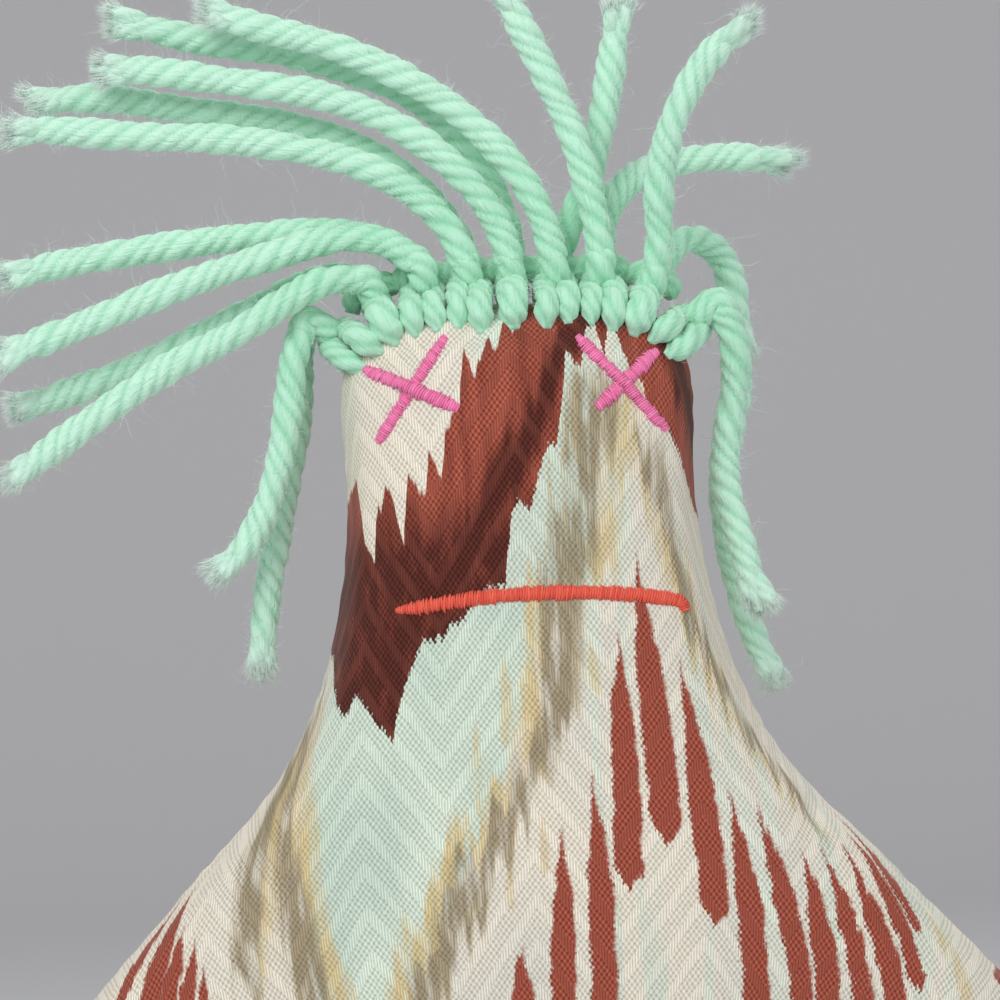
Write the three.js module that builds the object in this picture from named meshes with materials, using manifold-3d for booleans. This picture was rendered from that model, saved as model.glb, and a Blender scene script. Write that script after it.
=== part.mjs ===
// Soft rag doll for stress relief, standing on its feet, with yarn hair over its top seam.
// Millimetres, +Z up. The doll looks along -Y, so its own left hand is at +X.
// The origin is on the floor, midway between the feet.

import * as THREE from 'three';
import { mergeVertices } from 'three/addons/utils/BufferGeometryUtils.js';
import Module from 'manifold-3d';

const wasm = await Module();
wasm.setup();

// Outline of the doll: half widths and heights above the floor
const CROWN_Z = 305;
const TEMPLE_Z = 283;
const TEMPLE_HALF = 33;
const CROWN_SQUARENESS = 3.5;
const CHEEK_Z = 270;
const CHEEK_HALF = 32;
const JAW_Z = 248;
const JAW_HALF = 34.9;
const NECK_Z = 226;
const NECK_HALF = 42.5;
const COLLAR_Z = 211;
const COLLAR_HALF = 53.8;
const SHOULDER_Z = 195;
const SHOULDER_HALF = 69;
const WRIST_Z = 169;
const WRIST_HALF = 93;
const HAND_WIDTH = 42;
const HAND_ROUND = 15;
const HAND_SQUARENESS = 2.4;
const ARMPIT_Z = 154;
const ARMPIT_HALF = 40;
const ARMPIT_ROUND = 10;
const WAIST_Z = 122;
const WAIST_HALF = 39;
const HIP_Z = 96;
const HIP_HALF = 45;
const CROTCH_Z = 88;
const CROTCH_ROUND = 5;
const THIGH_Z = 58;
const THIGH_HALF = 48;
const ANKLE_Z = 20;
const ANKLE_HALF = 50;
const FOOT_WIDTH = 42;
const FOOT_SQUARENESS = 2.8;
const SOLE_TUCK = 9;
const SOLE_ROUND = 1.2;
const SOLE_PRESS = 0.5;

// Cloth and stuffing
const CLOTH = 0.8;
const SEAM_GAP = 0.3;
const CLEARANCE = 0.3;
const STUFFING_GAP = 0.7;
const CHEST_HALF_DEPTH = 28;
const FULLNESS = 0.37;

// Bands of cloth that fold
const NECK_FOLD = 18;
const SHOULDER_FOLD = 15;
const SHOULDER_LEAN = THREE.MathUtils.degToRad(8);
const ARM_ROOT = ARMPIT_ROUND / 2;
const HIP_FOLD = 15;
const CROTCH_LIFT = 1.6;
const CROTCH_LIFT_HALF = 6;

// Satin stitches of the face
const STITCH_HEIGHT = 0.9;
const STITCH_EDGE = 0.3;
const STITCH_OVERPASS = 5;
const EYE_BARS = {
  left_eye_under_bar: { width: 2.9, from: [25.9, 294.6], to: [14.5, 284.7] },
  left_eye_over_bar: {
    width: 2.3, from: [11.6, 297.8], to: [26.9, 280.3], crosses: 'left_eye_under_bar',
  },
  right_eye_under_bar: { width: 2.3, from: [-12.6, 298.8], to: [-25.5, 280.3] },
  right_eye_over_bar: {
    width: 2.8, from: [-27.5, 293.6], to: [-10.8, 285.6], crosses: 'right_eye_under_bar',
  },
};
const MOUTH_WIDTH = 2.8;
const MOUTH_LINE = [[-23.3, 249.5], [-4.7, 251.5], [13.8, 251.2], [28.1, 248.9]];

// Yarn hair: nine hitches over the top seam, each with a front and a back tail
const YARN = 5.6;
const KNOT_YARN = 6;
const KNOT_COUNT = 9;
const KNOT_SPACING = 8;
const KNOT_DEPTHS = [4, 1.8, 0.5];
const TAIL_STEPS = 14;
const YARN_SIDES = 8;

// Places that each tail passes, from the top of its knot: right, back and up.
// The tails are listed from the doll's right to its left.
const FRONT_TAILS = [
  [[-2.5, -3.5, 1.5], [-5, -4, -5], [-6.5, -3.5, -14], [-8.5, -3.5, -24], [-12.5, -3.5, -35],
    [-17.5, -3.5, -42], [-23, -3.5, -46]],
  [[-0.5, -4, 1.5], [-7.5, -6.5, 1.5], [-15, -8, -2], [-24.5, -8, -7.5], [-37.5, -7, -13.5],
    [-50.5, -7, -21.5], [-62.5, -7, -29.5], [-68.5, -7, -33.5]],
  [[0, -4, 1.5], [-6.5, -4, 6], [-15.5, -4, 7], [-28.5, -4.5, 4], [-44.5, -5, -0.5],
    [-61.5, -5, -6.5], [-74.5, -5, -11], [-79.5, -5, -13]],
  [[0, -3.5, 0], [-2.5, -4, 6.5], [-8, -4, 13], [-16, -4.5, 18.5], [-27, -4.5, 22.5],
    [-43, -5, 25.5], [-61, -5, 27], [-74, -5, 28.5], [-85, -5, 29.5]],
  [[0, -3.5, 0], [-2, -4, 7.5], [-7, -4, 15.5], [-14, -4, 22.5], [-23, -4, 28.5],
    [-34, -4, 33], [-49, -4, 36], [-67, -4, 39], [-76, -4, 39.5]],
  [[0, -3.5, 0], [-1.5, -4, 7.5], [-5, -4, 15.5], [-12, -4, 24.5], [-22, -4, 33],
    [-38, -4, 41.5], [-54, -4, 46.5], [-64, -4, 50.5]],
  [[0, -3.5, 0], [-0.5, -4, 7], [-3.5, -4, 22], [-8.5, -4.5, 35], [-13.5, -5, 46],
    [-17.5, -5, 54]],
  [[0, -3.5, 0], [1, -5, 6], [1.5, -7.5, 17], [4.5, -10, 28], [10.5, -12, 38],
    [19.5, -14, 46]],
  [[2.5, -3, 1.5], [5, -1.5, -5], [5, 0.5, -13], [3.5, 2, -21], [2.5, 3, -31],
    [5.5, 3, -45], [8, 3, -56]],
];
const BACK_TAILS = [
  [[-2.5, 3.5, 1.5], [-4.5, 4, -5], [-5, 4, -13], [-6.5, 4, -23], [-9.5, 4, -35],
    [-12.5, 4, -50], [-14.5, 4, -65]],
  [[-0.5, 4, 1.5], [-7.5, 4.5, 2.5], [-15.5, 4.5, 0], [-23.5, 4, -3.5], [-37.5, 4, -10],
    [-54.5, 4, -16], [-68.5, 4, -20]],
  [[0, 4, 1.5], [-6.5, 4, 6.5], [-15.5, 4, 8.5], [-31.5, 4, 8.5], [-50.5, 4, 7],
    [-66.5, 4, 5], [-78.5, 4, 3]],
  [[0, 3.5, 0], [-2, 4, 6.5], [-6.5, 4, 13.5], [-13, 4, 19.5], [-21, 4, 24.5],
    [-32, 4, 28.5], [-48, 4, 31.5], [-67, 4, 35], [-81, 4, 34.5]],
  [[0, 3.5, 0], [-0.5, 4, 7.5], [-3.5, 4, 16.5], [-9, 4, 25.5], [-19, 4, 34],
    [-37, 4, 41], [-56, 4, 45], [-73, 4, 49.5]],
  [[0, 3.5, 0], [2.5, 4, 6.5], [6.5, 5, 14.5], [10, 6, 26.5], [12.5, 7, 38.5],
    [14, 7, 50.5]],
  [[0, 3.5, 0], [0.5, 5.5, 6], [2.5, 10, 12], [7, 15.5, 17], [14.5, 20, 20],
    [25.5, 23.5, 21], [38.5, 25, 19.5]],
  [[0.5, 3.5, 1], [3, 6, 4.5], [6, 9, 7], [9.5, 12.5, 7], [13, 15.5, 4.5],
    [15, 17.5, 0], [16, 19, -7], [17, 19.5, -16]],
  [[2, 4, 1.5], [5.5, 7, -4.5], [6, 10, -14], [4, 12.5, -23], [2.5, 14, -33],
    [4, 14, -47], [7, 14, -60], [11.5, 14, -71]],
];

const PALETTE = {
  cloth: { color: 0xe2d8c6, roughness: 0.95 },
  stuffing: { color: 0xf4f2ec, roughness: 1 },
  eye: { color: 0xe0509a, roughness: 0.5 },
  mouth: { color: 0xe5503c, roughness: 0.5 },
  yarn: { color: 0x86d8ac, roughness: 1 },
};

// Fineness of the solids
const ROUND_STEPS = 32;
const OUTLINE_STEP = 3;
const FIELD_STEP = 2.5;
const FIELD_ROUNDS = 400;
const FIELD_OVERSHOOT = 1.9;
const PROBE_DEPTH = 2 * FIELD_STEP;
const CROWDING = 0.55;
const THINNEST = 0.4;
const COLUMNS = 10;
const TORSO_COLUMNS = 12;

// A round end, half of a squarish ellipse, from one point to another, swelling out by reach
class RoundEnd extends THREE.Curve {
  constructor(from, to, reach, squareness) {
    super();
    this.centre = from.clone().add(to).multiplyScalar(0.5);
    this.side = from.clone().sub(this.centre);
    this.out = turnedRight(this.side).setLength(reach);
    this.power = 2 / squareness;
  }

  getPoint(t, target = new THREE.Vector2()) {
    const across = Math.cos(Math.PI * t);
    const along = Math.sin(Math.PI * t);
    const sideways = Math.sign(across) * Math.abs(across) ** this.power;
    target.copy(this.centre);
    target.addScaledVector(this.side, sideways);
    target.addScaledVector(this.out, Math.abs(along) ** this.power);
    return target;
  }
}

function plan(x, z) {
  return new THREE.Vector2(x, z);
}

function turnedRight(vector) {
  return plan(vector.y, -vector.x);
}

function flipped(point) {
  const other = plan(-point.x, point.y);
  other.seam = point.seam;
  return other;
}

// Shares of a length: even, closer together at both ends, or closer together at the far end
function evenShares(count) {
  return Array.from({ length: count + 1 }, (_, i) => i / count);
}

function edgeShares(count) {
  const crowded = (share) => (1 - Math.cos(Math.PI * share)) / 2;
  return evenShares(count).map((share) => THREE.MathUtils.lerp(share, crowded(share), CROWDING));
}

function endShares(count) {
  const crowded = (share) => Math.sin((Math.PI / 2) * share);
  return evenShares(count).map((share) => THREE.MathUtils.lerp(share, crowded(share), CROWDING));
}

function alongRun(run, shares) {
  const lengths = [0];
  for (let i = 1; i < run.length; i += 1) {
    lengths.push(lengths[i - 1] + run[i].distanceTo(run[i - 1]));
  }
  const total = lengths[run.length - 1];
  return shares.map((share) => {
    const wanted = share * total;
    let i = 1;
    while (i < run.length - 1 && lengths[i] < wanted) {
      i += 1;
    }
    const part = (wanted - lengths[i - 1]) / (lengths[i] - lengths[i - 1]);
    return run[i - 1].clone().lerp(run[i], THREE.MathUtils.clamp(part, 0, 1));
  });
}

function straight(from, to, shares) {
  return shares.map((share) => from.clone().lerp(to, share));
}

// Half of the doll's outline, clockwise from the middle of the crown to the crotch
class HalfOutline {
  constructor(points, marks) {
    this.points = points;
    this.marks = marks;
  }

  at(index) {
    const low = Math.min(Math.floor(index), this.points.length - 2);
    return this.points[low].clone().lerp(this.points[low + 1], index - low);
  }

  // First place after an index where the outline crosses a line, given as a signed distance
  cross(line, after) {
    for (let i = Math.ceil(after); i < this.points.length - 1; i += 1) {
      const here = line(this.points[i]);
      const next = line(this.points[i + 1]);
      if (here * next <= 0 && here !== next) {
        return i + here / (here - next);
      }
    }
    throw new Error('a cut line misses the outline');
  }

  stretch(from, to, shares) {
    const step = Math.sign(to - from);
    const run = [this.at(from)];
    const first = step > 0 ? Math.floor(from) + 1 : Math.ceil(from) - 1;
    for (let i = first; step * (to - i) > 0; i += step) {
      run.push(this.points[i]);
    }
    run.push(this.at(to));
    const points = alongRun(run, shares);
    points.forEach((point) => {
      point.seam = true;
    });
    return points;
  }

  // The same outline drawn in by an even margin
  inset(margin) {
    const last = this.points.length - 1;
    const points = this.points.map((point, i) => {
      const before = i > 0 ? this.points[i - 1] : flipped(this.points[1]);
      const after = i < last ? this.points[i + 1] : flipped(this.points[last - 1]);
      const inward = turnedRight(after.clone().sub(before)).normalize();
      return point.clone().addScaledVector(inward, margin);
    });
    return new HalfOutline(points, this.marks);
  }
}

function drawHalfOutline() {
  const temple = plan(TEMPLE_HALF, TEMPLE_Z);
  const shoulder = plan(SHOULDER_HALF, SHOULDER_Z);
  const wrist = plan(WRIST_HALF, WRIST_Z);
  const armDirection = wrist.clone().sub(shoulder).normalize();
  const innerWrist = wrist.clone().addScaledVector(turnedRight(armDirection), HAND_WIDTH);
  const armpit = plan(ARMPIT_HALF, ARMPIT_Z);
  const waist = plan(WAIST_HALF, WAIST_Z);
  const intoArmpit = innerWrist.clone().sub(armpit).setLength(ARMPIT_ROUND).add(armpit);
  const outOfArmpit = waist.clone().sub(armpit).setLength(ARMPIT_ROUND).add(armpit);
  const ankle = plan(ANKLE_HALF, ANKLE_Z);
  const innerAnkle = plan(ANKLE_HALF - FOOT_WIDTH, ANKLE_Z);
  const innerThigh = plan(CROTCH_ROUND, CROTCH_Z - CROTCH_ROUND);

  const points = [];
  const marks = {};
  const add = (run) => points.push(...run.slice(points.length > 0 ? 1 : 0));
  const addCurve = (curve) => add(curve.getSpacedPoints(Math.ceil(curve.getLength() / OUTLINE_STEP)));
  const addRoundEnd = (name, end) => {
    const first = points.length - 1;
    add(end.getPoints(ROUND_STEPS));
    marks[name] = {
      corner: first + ROUND_STEPS / 4,
      tip: first + ROUND_STEPS / 2,
      farCorner: first + (3 * ROUND_STEPS) / 4,
    };
  };

  const crown = new RoundEnd(flipped(temple), temple, CROWN_Z - TEMPLE_Z, CROWN_SQUARENESS);
  add(crown.getPoints(ROUND_STEPS).slice(ROUND_STEPS / 2));
  marks.crownCorner = ROUND_STEPS / 4;
  const cheek = plan(CHEEK_HALF, CHEEK_Z);
  const jaw = plan(JAW_HALF, JAW_Z);
  const neck = plan(NECK_HALF, NECK_Z);
  const collar = plan(COLLAR_HALF, COLLAR_Z);
  addCurve(new THREE.SplineCurve([temple, cheek, jaw, neck, collar, shoulder, wrist]));
  addRoundEnd('hand', new RoundEnd(wrist, innerWrist, HAND_ROUND, HAND_SQUARENESS));
  addCurve(new THREE.LineCurve(innerWrist, intoArmpit));
  addCurve(new THREE.QuadraticBezierCurve(intoArmpit, armpit, outOfArmpit));
  marks.underArm = points.length - 1;
  const hip = plan(HIP_HALF, HIP_Z);
  const thigh = plan(THIGH_HALF, THIGH_Z);
  addCurve(new THREE.SplineCurve([outOfArmpit, waist, hip, thigh, ankle]));
  addRoundEnd('foot', new RoundEnd(ankle, innerAnkle, ANKLE_Z + SOLE_TUCK, FOOT_SQUARENESS));
  addCurve(new THREE.LineCurve(innerAnkle, innerThigh));
  addCurve(new THREE.EllipseCurve(0, innerThigh.y, CROTCH_ROUND, CROTCH_ROUND, 0, Math.PI / 2));
  return new HalfOutline(points, marks);
}

const halfOutline = drawHalfOutline();
const outlinePolygon = [...halfOutline.points, ...halfOutline.points.slice(1, -1).reverse().map(flipped)];

// Sorted places where the outline crosses a line on which one coordinate is fixed
function crossings(axis, level) {
  const other = axis === 'x' ? 'y' : 'x';
  const found = [];
  outlinePolygon.forEach((a, i) => {
    const b = outlinePolygon[(i + 1) % outlinePolygon.length];
    if (a[axis] > level !== b[axis] > level) {
      const share = (level - a[axis]) / (b[axis] - a[axis]);
      found.push(a[other] + share * (b[other] - a[other]));
    }
  });
  return found.sort((p, q) => p - q);
}

// Room to the outline before and after a place on such a line, or nothing outside it
function roomOnLine(sorted, place) {
  const after = sorted.findIndex((crossing) => crossing > place);
  if (after < 0 || after % 2 === 0) {
    return null;
  }
  return [place - sorted[after - 1], sorted[after] - place].map((room) => Math.min(room, FIELD_STEP));
}

// How far even stuffing lifts two sewn panels apart: a membrane held along the outline.
// Its height comes from Poisson's equation on a grid whose arms stop at the outline.
function solveMembrane() {
  const box = new THREE.Box2().setFromPoints(outlinePolygon);
  const size = box.getSize(plan(0, 0));
  const columns = Math.ceil(size.x / FIELD_STEP) + 1;
  const rows = Math.ceil(size.y / FIELD_STEP) + 1;
  const xAt = (i) => box.min.x + (i - 0.5) * FIELD_STEP;
  const zAt = (j) => box.min.y + (j - 0.5) * FIELD_STEP;
  const stride = columns + 1;
  const height = new Float64Array(stride * (rows + 1));
  const cells = [];
  const byColumn = Array.from({ length: stride }, (_, i) => crossings('x', xAt(i)));
  for (let j = 0; j <= rows; j += 1) {
    const onRow = crossings('y', zAt(j));
    for (let i = 0; i <= columns; i += 1) {
      const across = roomOnLine(onRow, xAt(i));
      const upright = roomOnLine(byColumn[i], zAt(j));
      if (across && upright) {
        cells.push({ at: j * stride + i, across, upright });
      }
    }
  }
  const pull = (at, step, [before, after]) => {
    const low = before < FIELD_STEP ? 0 : height[at - step];
    const high = after < FIELD_STEP ? 0 : height[at + step];
    return (2 / (before + after)) * (low / before + high / after);
  };
  for (let round = 0; round < FIELD_ROUNDS; round += 1) {
    cells.forEach(({ at, across, upright }) => {
      const hold = 2 / (across[0] * across[1]) + 2 / (upright[0] * upright[1]);
      const level = (1 + pull(at, 1, across) + pull(at, stride, upright)) / hold;
      height[at] += FIELD_OVERSHOOT * (level - height[at]);
    });
  }
  const top = Math.max(...height);
  const sample = (point) => {
    const across = (point.x - xAt(0)) / FIELD_STEP;
    const up = (point.y - zAt(0)) / FIELD_STEP;
    const i = THREE.MathUtils.clamp(Math.floor(across), 0, columns - 1);
    const j = THREE.MathUtils.clamp(Math.floor(up), 0, rows - 1);
    const at = j * stride + i;
    const low = THREE.MathUtils.lerp(height[at], height[at + 1], across - i);
    const high = THREE.MathUtils.lerp(height[at + stride], height[at + stride + 1], across - i);
    return THREE.MathUtils.lerp(low, high, up - j) / top;
  };
  return sample;
}

const membrane = solveMembrane();

function nearestOnOutline(point) {
  let nearest = null;
  let least = Infinity;
  const segment = new THREE.Line3();
  const place = new THREE.Vector3();
  const from = new THREE.Vector3(point.x, point.y, 0);
  outlinePolygon.forEach((a, i) => {
    const b = outlinePolygon[(i + 1) % outlinePolygon.length];
    segment.start.set(a.x, a.y, 0);
    segment.end.set(b.x, b.y, 0);
    segment.closestPointToPoint(from, true, place);
    const distance = place.distanceTo(from);
    if (distance < least) {
      least = distance;
      nearest = plan(place.x, place.y);
    }
  });
  return { nearest, distance: least };
}

// Half thickness of the stuffed doll over a point of its plan, or of a layer deeper inside
function halfDepth(point, inset = 0) {
  const { nearest, distance } = nearestOnOutline(point);
  const depth = distance - inset;
  if (depth <= 0 || distance === 0) {
    return 0;
  }
  const inward = point.clone().sub(nearest).divideScalar(distance);
  const probe = point.clone().addScaledVector(inward, Math.max(0, PROBE_DEPTH - distance));
  const rise = membrane(probe) / Math.max(PROBE_DEPTH, distance);
  return (CHEST_HALF_DEPTH - inset) * (rise * depth) ** FULLNESS;
}

// Points over a region, blended from its four edges; edge points stay as they are
function patch(start, end, left, right) {
  const columns = start.length - 1;
  const rows = left.length - 1;
  return left.map((_, j) => start.map((__, i) => {
    if (i === 0) {
      return left[j];
    }
    if (i === columns) {
      return right[j];
    }
    if (j === 0) {
      return start[i];
    }
    if (j === rows) {
      return end[i];
    }
    const u = i / columns;
    const v = j / rows;
    const point = plan(0, 0);
    point.addScaledVector(start[i], 1 - v).addScaledVector(end[i], v);
    point.addScaledVector(left[j], 1 - u).addScaledVector(right[j], u);
    point.addScaledVector(left[0], -(1 - u) * (1 - v)).addScaledVector(right[0], -u * (1 - v));
    point.addScaledVector(left[rows], -(1 - u) * v).addScaledVector(right[rows], -u * v);
    return point;
  }));
}

const headLine = (point) => point.y - NECK_Z - NECK_FOLD / 2;
const torsoTopLine = (point) => point.y - NECK_Z + NECK_FOLD / 2;
const hipLine = (point) => point.y - CROTCH_Z;
const legLine = (point) => point.y - CROTCH_Z + HIP_FOLD;

// Lines across the arm, numbered by their distance out from the armpit
function armLine(distance) {
  const out = plan(Math.cos(SHOULDER_LEAN), -Math.sin(SHOULDER_LEAN));
  const armpit = plan(ARMPIT_HALF, ARMPIT_Z);
  return (point) => point.clone().sub(armpit).dot(out) - distance;
}

const shifted = (line, by) => (point) => line(point) - by;

function headPatch(outline) {
  const rows = 9;
  const neck = outline.cross(headLine, 0);
  const corner = outline.marks.crownCorner;
  const right = outline.stretch(neck, corner, endShares(rows));
  const left = right.map(flipped);
  const halfCrown = outline.stretch(0, corner, evenShares(ROUND_STEPS));
  const crown = alongRun([...halfCrown.slice(1).reverse().map(flipped), ...halfCrown], edgeShares(COLUMNS));
  crown.forEach((point) => {
    point.seam = true;
  });
  return patch(straight(left[0], right[0], edgeShares(COLUMNS)), crown, left, right);
}

function neckPatch(outline) {
  const rows = 2;
  const low = outline.cross(shifted(torsoTopLine, CLEARANCE), 0);
  const high = outline.cross(shifted(headLine, -CLEARANCE), 0);
  const right = outline.stretch(low, high, evenShares(rows));
  const left = right.map(flipped);
  const across = (j) => straight(left[j], right[j], edgeShares(COLUMNS));
  return patch(across(0), across(rows), left, right);
}

function torsoPatch(outline) {
  const shoulder = outline.cross(armLine(ARM_ROOT), 0);
  const armpit = outline.cross(armLine(ARM_ROOT), outline.marks.hand.tip);
  const hip = outline.cross(hipLine, outline.marks.underArm);
  const neck = outline.cross(torsoTopLine, 0);
  const flank = outline.stretch(hip, armpit, endShares(5));
  const slope = outline.stretch(shoulder, neck, evenShares(1));
  const armSide = straight(flank[5], slope[0], edgeShares(6)).slice(1, -1);
  const right = [...flank, ...armSide, ...slope];
  const left = right.map(flipped);
  const shares = edgeShares(TORSO_COLUMNS);
  const bottom = straight(left[0], right[0], shares);
  bottom.forEach((point) => {
    point.y += CROTCH_LIFT * Math.exp(-((point.x / CROTCH_LIFT_HALF) ** 2));
  });
  const top = straight(left[left.length - 1], right[right.length - 1], shares);
  return patch(bottom, top, left, right);
}

// A strip of an arm between two lines across it
function armBand(outline, from, to) {
  const rows = 2;
  const tip = outline.marks.hand.tip;
  const upper = outline.stretch(outline.cross(from, 0), outline.cross(to, 0), evenShares(rows));
  const lower = outline.stretch(outline.cross(from, tip), outline.cross(to, tip), evenShares(rows));
  const across = (j) => straight(upper[j], lower[j], edgeShares(COLUMNS));
  return patch(across(0), across(rows), upper, lower);
}

function armPatch(outline) {
  const rows = 6;
  const { corner, tip, farCorner } = outline.marks.hand;
  const line = armLine(ARM_ROOT + SHOULDER_FOLD);
  const upper = outline.stretch(outline.cross(line, 0), corner, endShares(rows));
  const lower = outline.stretch(outline.cross(line, tip), farCorner, endShares(rows));
  const hand = outline.stretch(corner, farCorner, edgeShares(COLUMNS));
  return patch(straight(upper[0], lower[0], edgeShares(COLUMNS)), hand, upper, lower);
}

// A strip of a leg between two heights
function legBand(outline, from, to) {
  const rows = 2;
  const { underArm, foot } = outline.marks;
  const outer = outline.stretch(outline.cross(from, underArm), outline.cross(to, underArm), evenShares(rows));
  const inner = outline.stretch(outline.cross(from, foot.tip), outline.cross(to, foot.tip), evenShares(rows));
  const across = (j) => straight(outer[j], inner[j], edgeShares(COLUMNS));
  return patch(across(0), across(rows), outer, inner);
}

function legPatch(outline) {
  const rows = 8;
  const { corner, tip, farCorner } = outline.marks.foot;
  const outer = outline.stretch(outline.cross(legLine, outline.marks.underArm), corner, endShares(rows));
  const inner = outline.stretch(outline.cross(legLine, tip), farCorner, endShares(rows));
  const sole = outline.stretch(corner, farCorner, edgeShares(COLUMNS));
  return patch(straight(outer[0], inner[0], edgeShares(COLUMNS)), sole, outer, inner);
}

// Height of a layer whose foot is tucked under by the doll's weight
function pressedHeight(height, inset) {
  const floor = inset - SOLE_PRESS;
  return floor + SOLE_ROUND * Math.log(1 + Math.exp((height - floor) / SOLE_ROUND));
}

// The front surface of a patch; seam points lie at the rim's half depth
function frontSurface(points, inset, rim) {
  return points.map((row) => row.map((point) => {
    const depth = point.seam ? rim : Math.max(rim + THINNEST, halfDepth(point, inset));
    return new THREE.Vector3(point.x, -depth, pressedHeight(point.y, inset));
  }));
}

function mirrored(grid, axis) {
  return grid.map((row) => row.map((point) => point.clone().setComponent(axis, -point.getComponent(axis))));
}

function closedGeometry(positions, triangles) {
  const loose = new THREE.BufferGeometry();
  loose.setAttribute('position', new THREE.Float32BufferAttribute(positions, 3));
  loose.setIndex(triangles);
  const merged = mergeVertices(loose, 1e-3);
  const index = merged.getIndex().array;
  const kept = [];
  let volume = 0;
  const [a, b, c] = [0, 1, 2].map(() => new THREE.Vector3());
  for (let i = 0; i < index.length; i += 3) {
    const [p, q, r] = [index[i], index[i + 1], index[i + 2]];
    if (p !== q && q !== r && r !== p) {
      kept.push(p, q, r);
      a.fromBufferAttribute(merged.attributes.position, p);
      b.fromBufferAttribute(merged.attributes.position, q);
      c.fromBufferAttribute(merged.attributes.position, r);
      volume += a.dot(b.cross(c));
    }
  }
  merged.setIndex(volume < 0 ? kept.reverse() : kept);
  return merged;
}

// A closed solid between two grids of points; a ring's columns close on themselves.
// Its faces are split towards the grid's nearest corner, so that no sliver lies along the seam.
function solidBetween(outer, inner, ring = false) {
  const rows = outer.length;
  const columns = outer[0].length;
  const vertex = (layer, j, i) => (layer * rows + j) * columns + (i % columns);
  const positions = [outer, inner].flat(2).flatMap((point) => point.toArray());
  const triangles = [];
  const face = (a, b, c, d, forward) => {
    triangles.push(...(forward ? [a, b, c, a, c, d] : [b, c, d, b, d, a]));
  };
  const spans = ring ? columns : columns - 1;
  for (let j = 0; j < rows - 1; j += 1) {
    for (let i = 0; i < spans; i += 1) {
      const places = [[j, i], [j, i + 1], [j + 1, i + 1], [j + 1, i]];
      const corners = (layer) => places.map(([v, u]) => vertex(layer, v, u));
      const forward = (2 * i < spans) === (2 * j < rows - 1);
      face(...corners(0), forward);
      face(...corners(1).reverse(), !forward);
    }
  }
  const wall = (j, i, nextJ, nextI) => {
    face(vertex(0, nextJ, nextI), vertex(0, j, i), vertex(1, j, i), vertex(1, nextJ, nextI), true);
  };
  for (let i = 0; i < spans; i += 1) {
    wall(0, i, 0, i + 1);
    wall(rows - 1, i + 1, rows - 1, i);
  }
  for (let j = 0; j < rows - 1 && !ring; j += 1) {
    wall(j, columns - 1, j + 1, columns - 1);
    wall(j + 1, 0, j, 0);
  }
  return closedGeometry(positions, triangles);
}

const layers = {
  skin: { inset: 0, outline: halfOutline },
  lining: { inset: CLOTH, outline: halfOutline.inset(CLOTH) },
  filling: { inset: CLOTH + STUFFING_GAP, outline: halfOutline.inset(CLOTH + STUFFING_GAP) },
};

function layerSurface(region, { inset, outline }, rim) {
  return frontSurface(region(outline), inset, rim);
}

// Front half of the cloth over a region
function clothHalf(region) {
  const skin = layerSurface(region, layers.skin, SEAM_GAP / 2);
  const lining = layerSurface(region, layers.lining, SEAM_GAP / 2);
  return solidBetween(skin, lining);
}

function stuffing(region) {
  const front = layerSurface(region, layers.filling, 0);
  return solidBetween(front, mirrored(front, 1));
}

// A sleeve of cloth round a region that folds
function foldSleeve(region) {
  const hoop = (layer) => {
    const front = layerSurface(region, layer, 0);
    const back = mirrored(front, 1);
    return front.map((row, j) => [...row, ...back[j].slice(1, -1).reverse()]);
  };
  return solidBetween(hoop(layers.skin), hoop(layers.lining), true);
}

function flippedGeometry(geometry, axis) {
  const positions = Array.from(geometry.attributes.position.array);
  for (let i = axis; i < positions.length; i += 3) {
    positions[i] = -positions[i];
  }
  return closedGeometry(positions, Array.from(geometry.getIndex().array));
}

function asManifold(geometry) {
  return new wasm.Manifold(new wasm.Mesh({
    numProp: 3,
    vertProperties: new Float32Array(geometry.attributes.position.array),
    triVerts: new Uint32Array(geometry.getIndex().array),
  }));
}

// The sole pressed flat where the doll stands
function cutAtFloor(geometry) {
  const block = new THREE.BoxGeometry(4 * ANKLE_HALF, 4 * CHEST_HALF_DEPTH, ANKLE_Z);
  block.translate(0, 0, -ANKLE_Z / 2);
  block.deleteAttribute('normal');
  block.deleteAttribute('uv');
  const cut = asManifold(geometry).subtract(asManifold(mergeVertices(block))).getMesh();
  return closedGeometry(Array.from(cut.vertProperties), Array.from(cut.triVerts));
}

// A satin-stitched bar on the face: narrow at its ends and higher where it crosses another bar
function stitchBar(line, width, crossing) {
  const stations = 12;
  const path = new THREE.SplineCurve(line.map(([x, z]) => plan(x, z)));
  const acrossShares = [-1, -0.55, 0, 0.55, 1];
  const overpass = STITCH_HEIGHT + CLEARANCE;
  const top = [];
  const underside = [];
  evenShares(stations).forEach((share) => {
    const centre = path.getPointAt(share);
    const sideways = turnedRight(path.getTangentAt(share));
    const taper = Math.sqrt(Math.max(0, 1 - (2 * share - 1) ** 8)) * 0.75 + 0.25;
    const away = crossing ? centre.distanceTo(crossing) / STITCH_OVERPASS : Infinity;
    const lift = CLEARANCE + overpass * Math.exp(-(away ** 4));
    const topRow = [];
    const undersideRow = [];
    acrossShares.forEach((across) => {
      const point = centre.clone().addScaledVector(sideways, (across * taper * width) / 2);
      const base = halfDepth(point) + lift;
      const swell = STITCH_EDGE + (STITCH_HEIGHT - STITCH_EDGE) * (1 - across ** 2);
      topRow.push(new THREE.Vector3(point.x, -base - swell, point.y));
      undersideRow.push(new THREE.Vector3(point.x, -base, point.y));
    });
    top.push(topRow);
    underside.push(undersideRow);
  });
  return solidBetween(top, underside);
}

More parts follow.
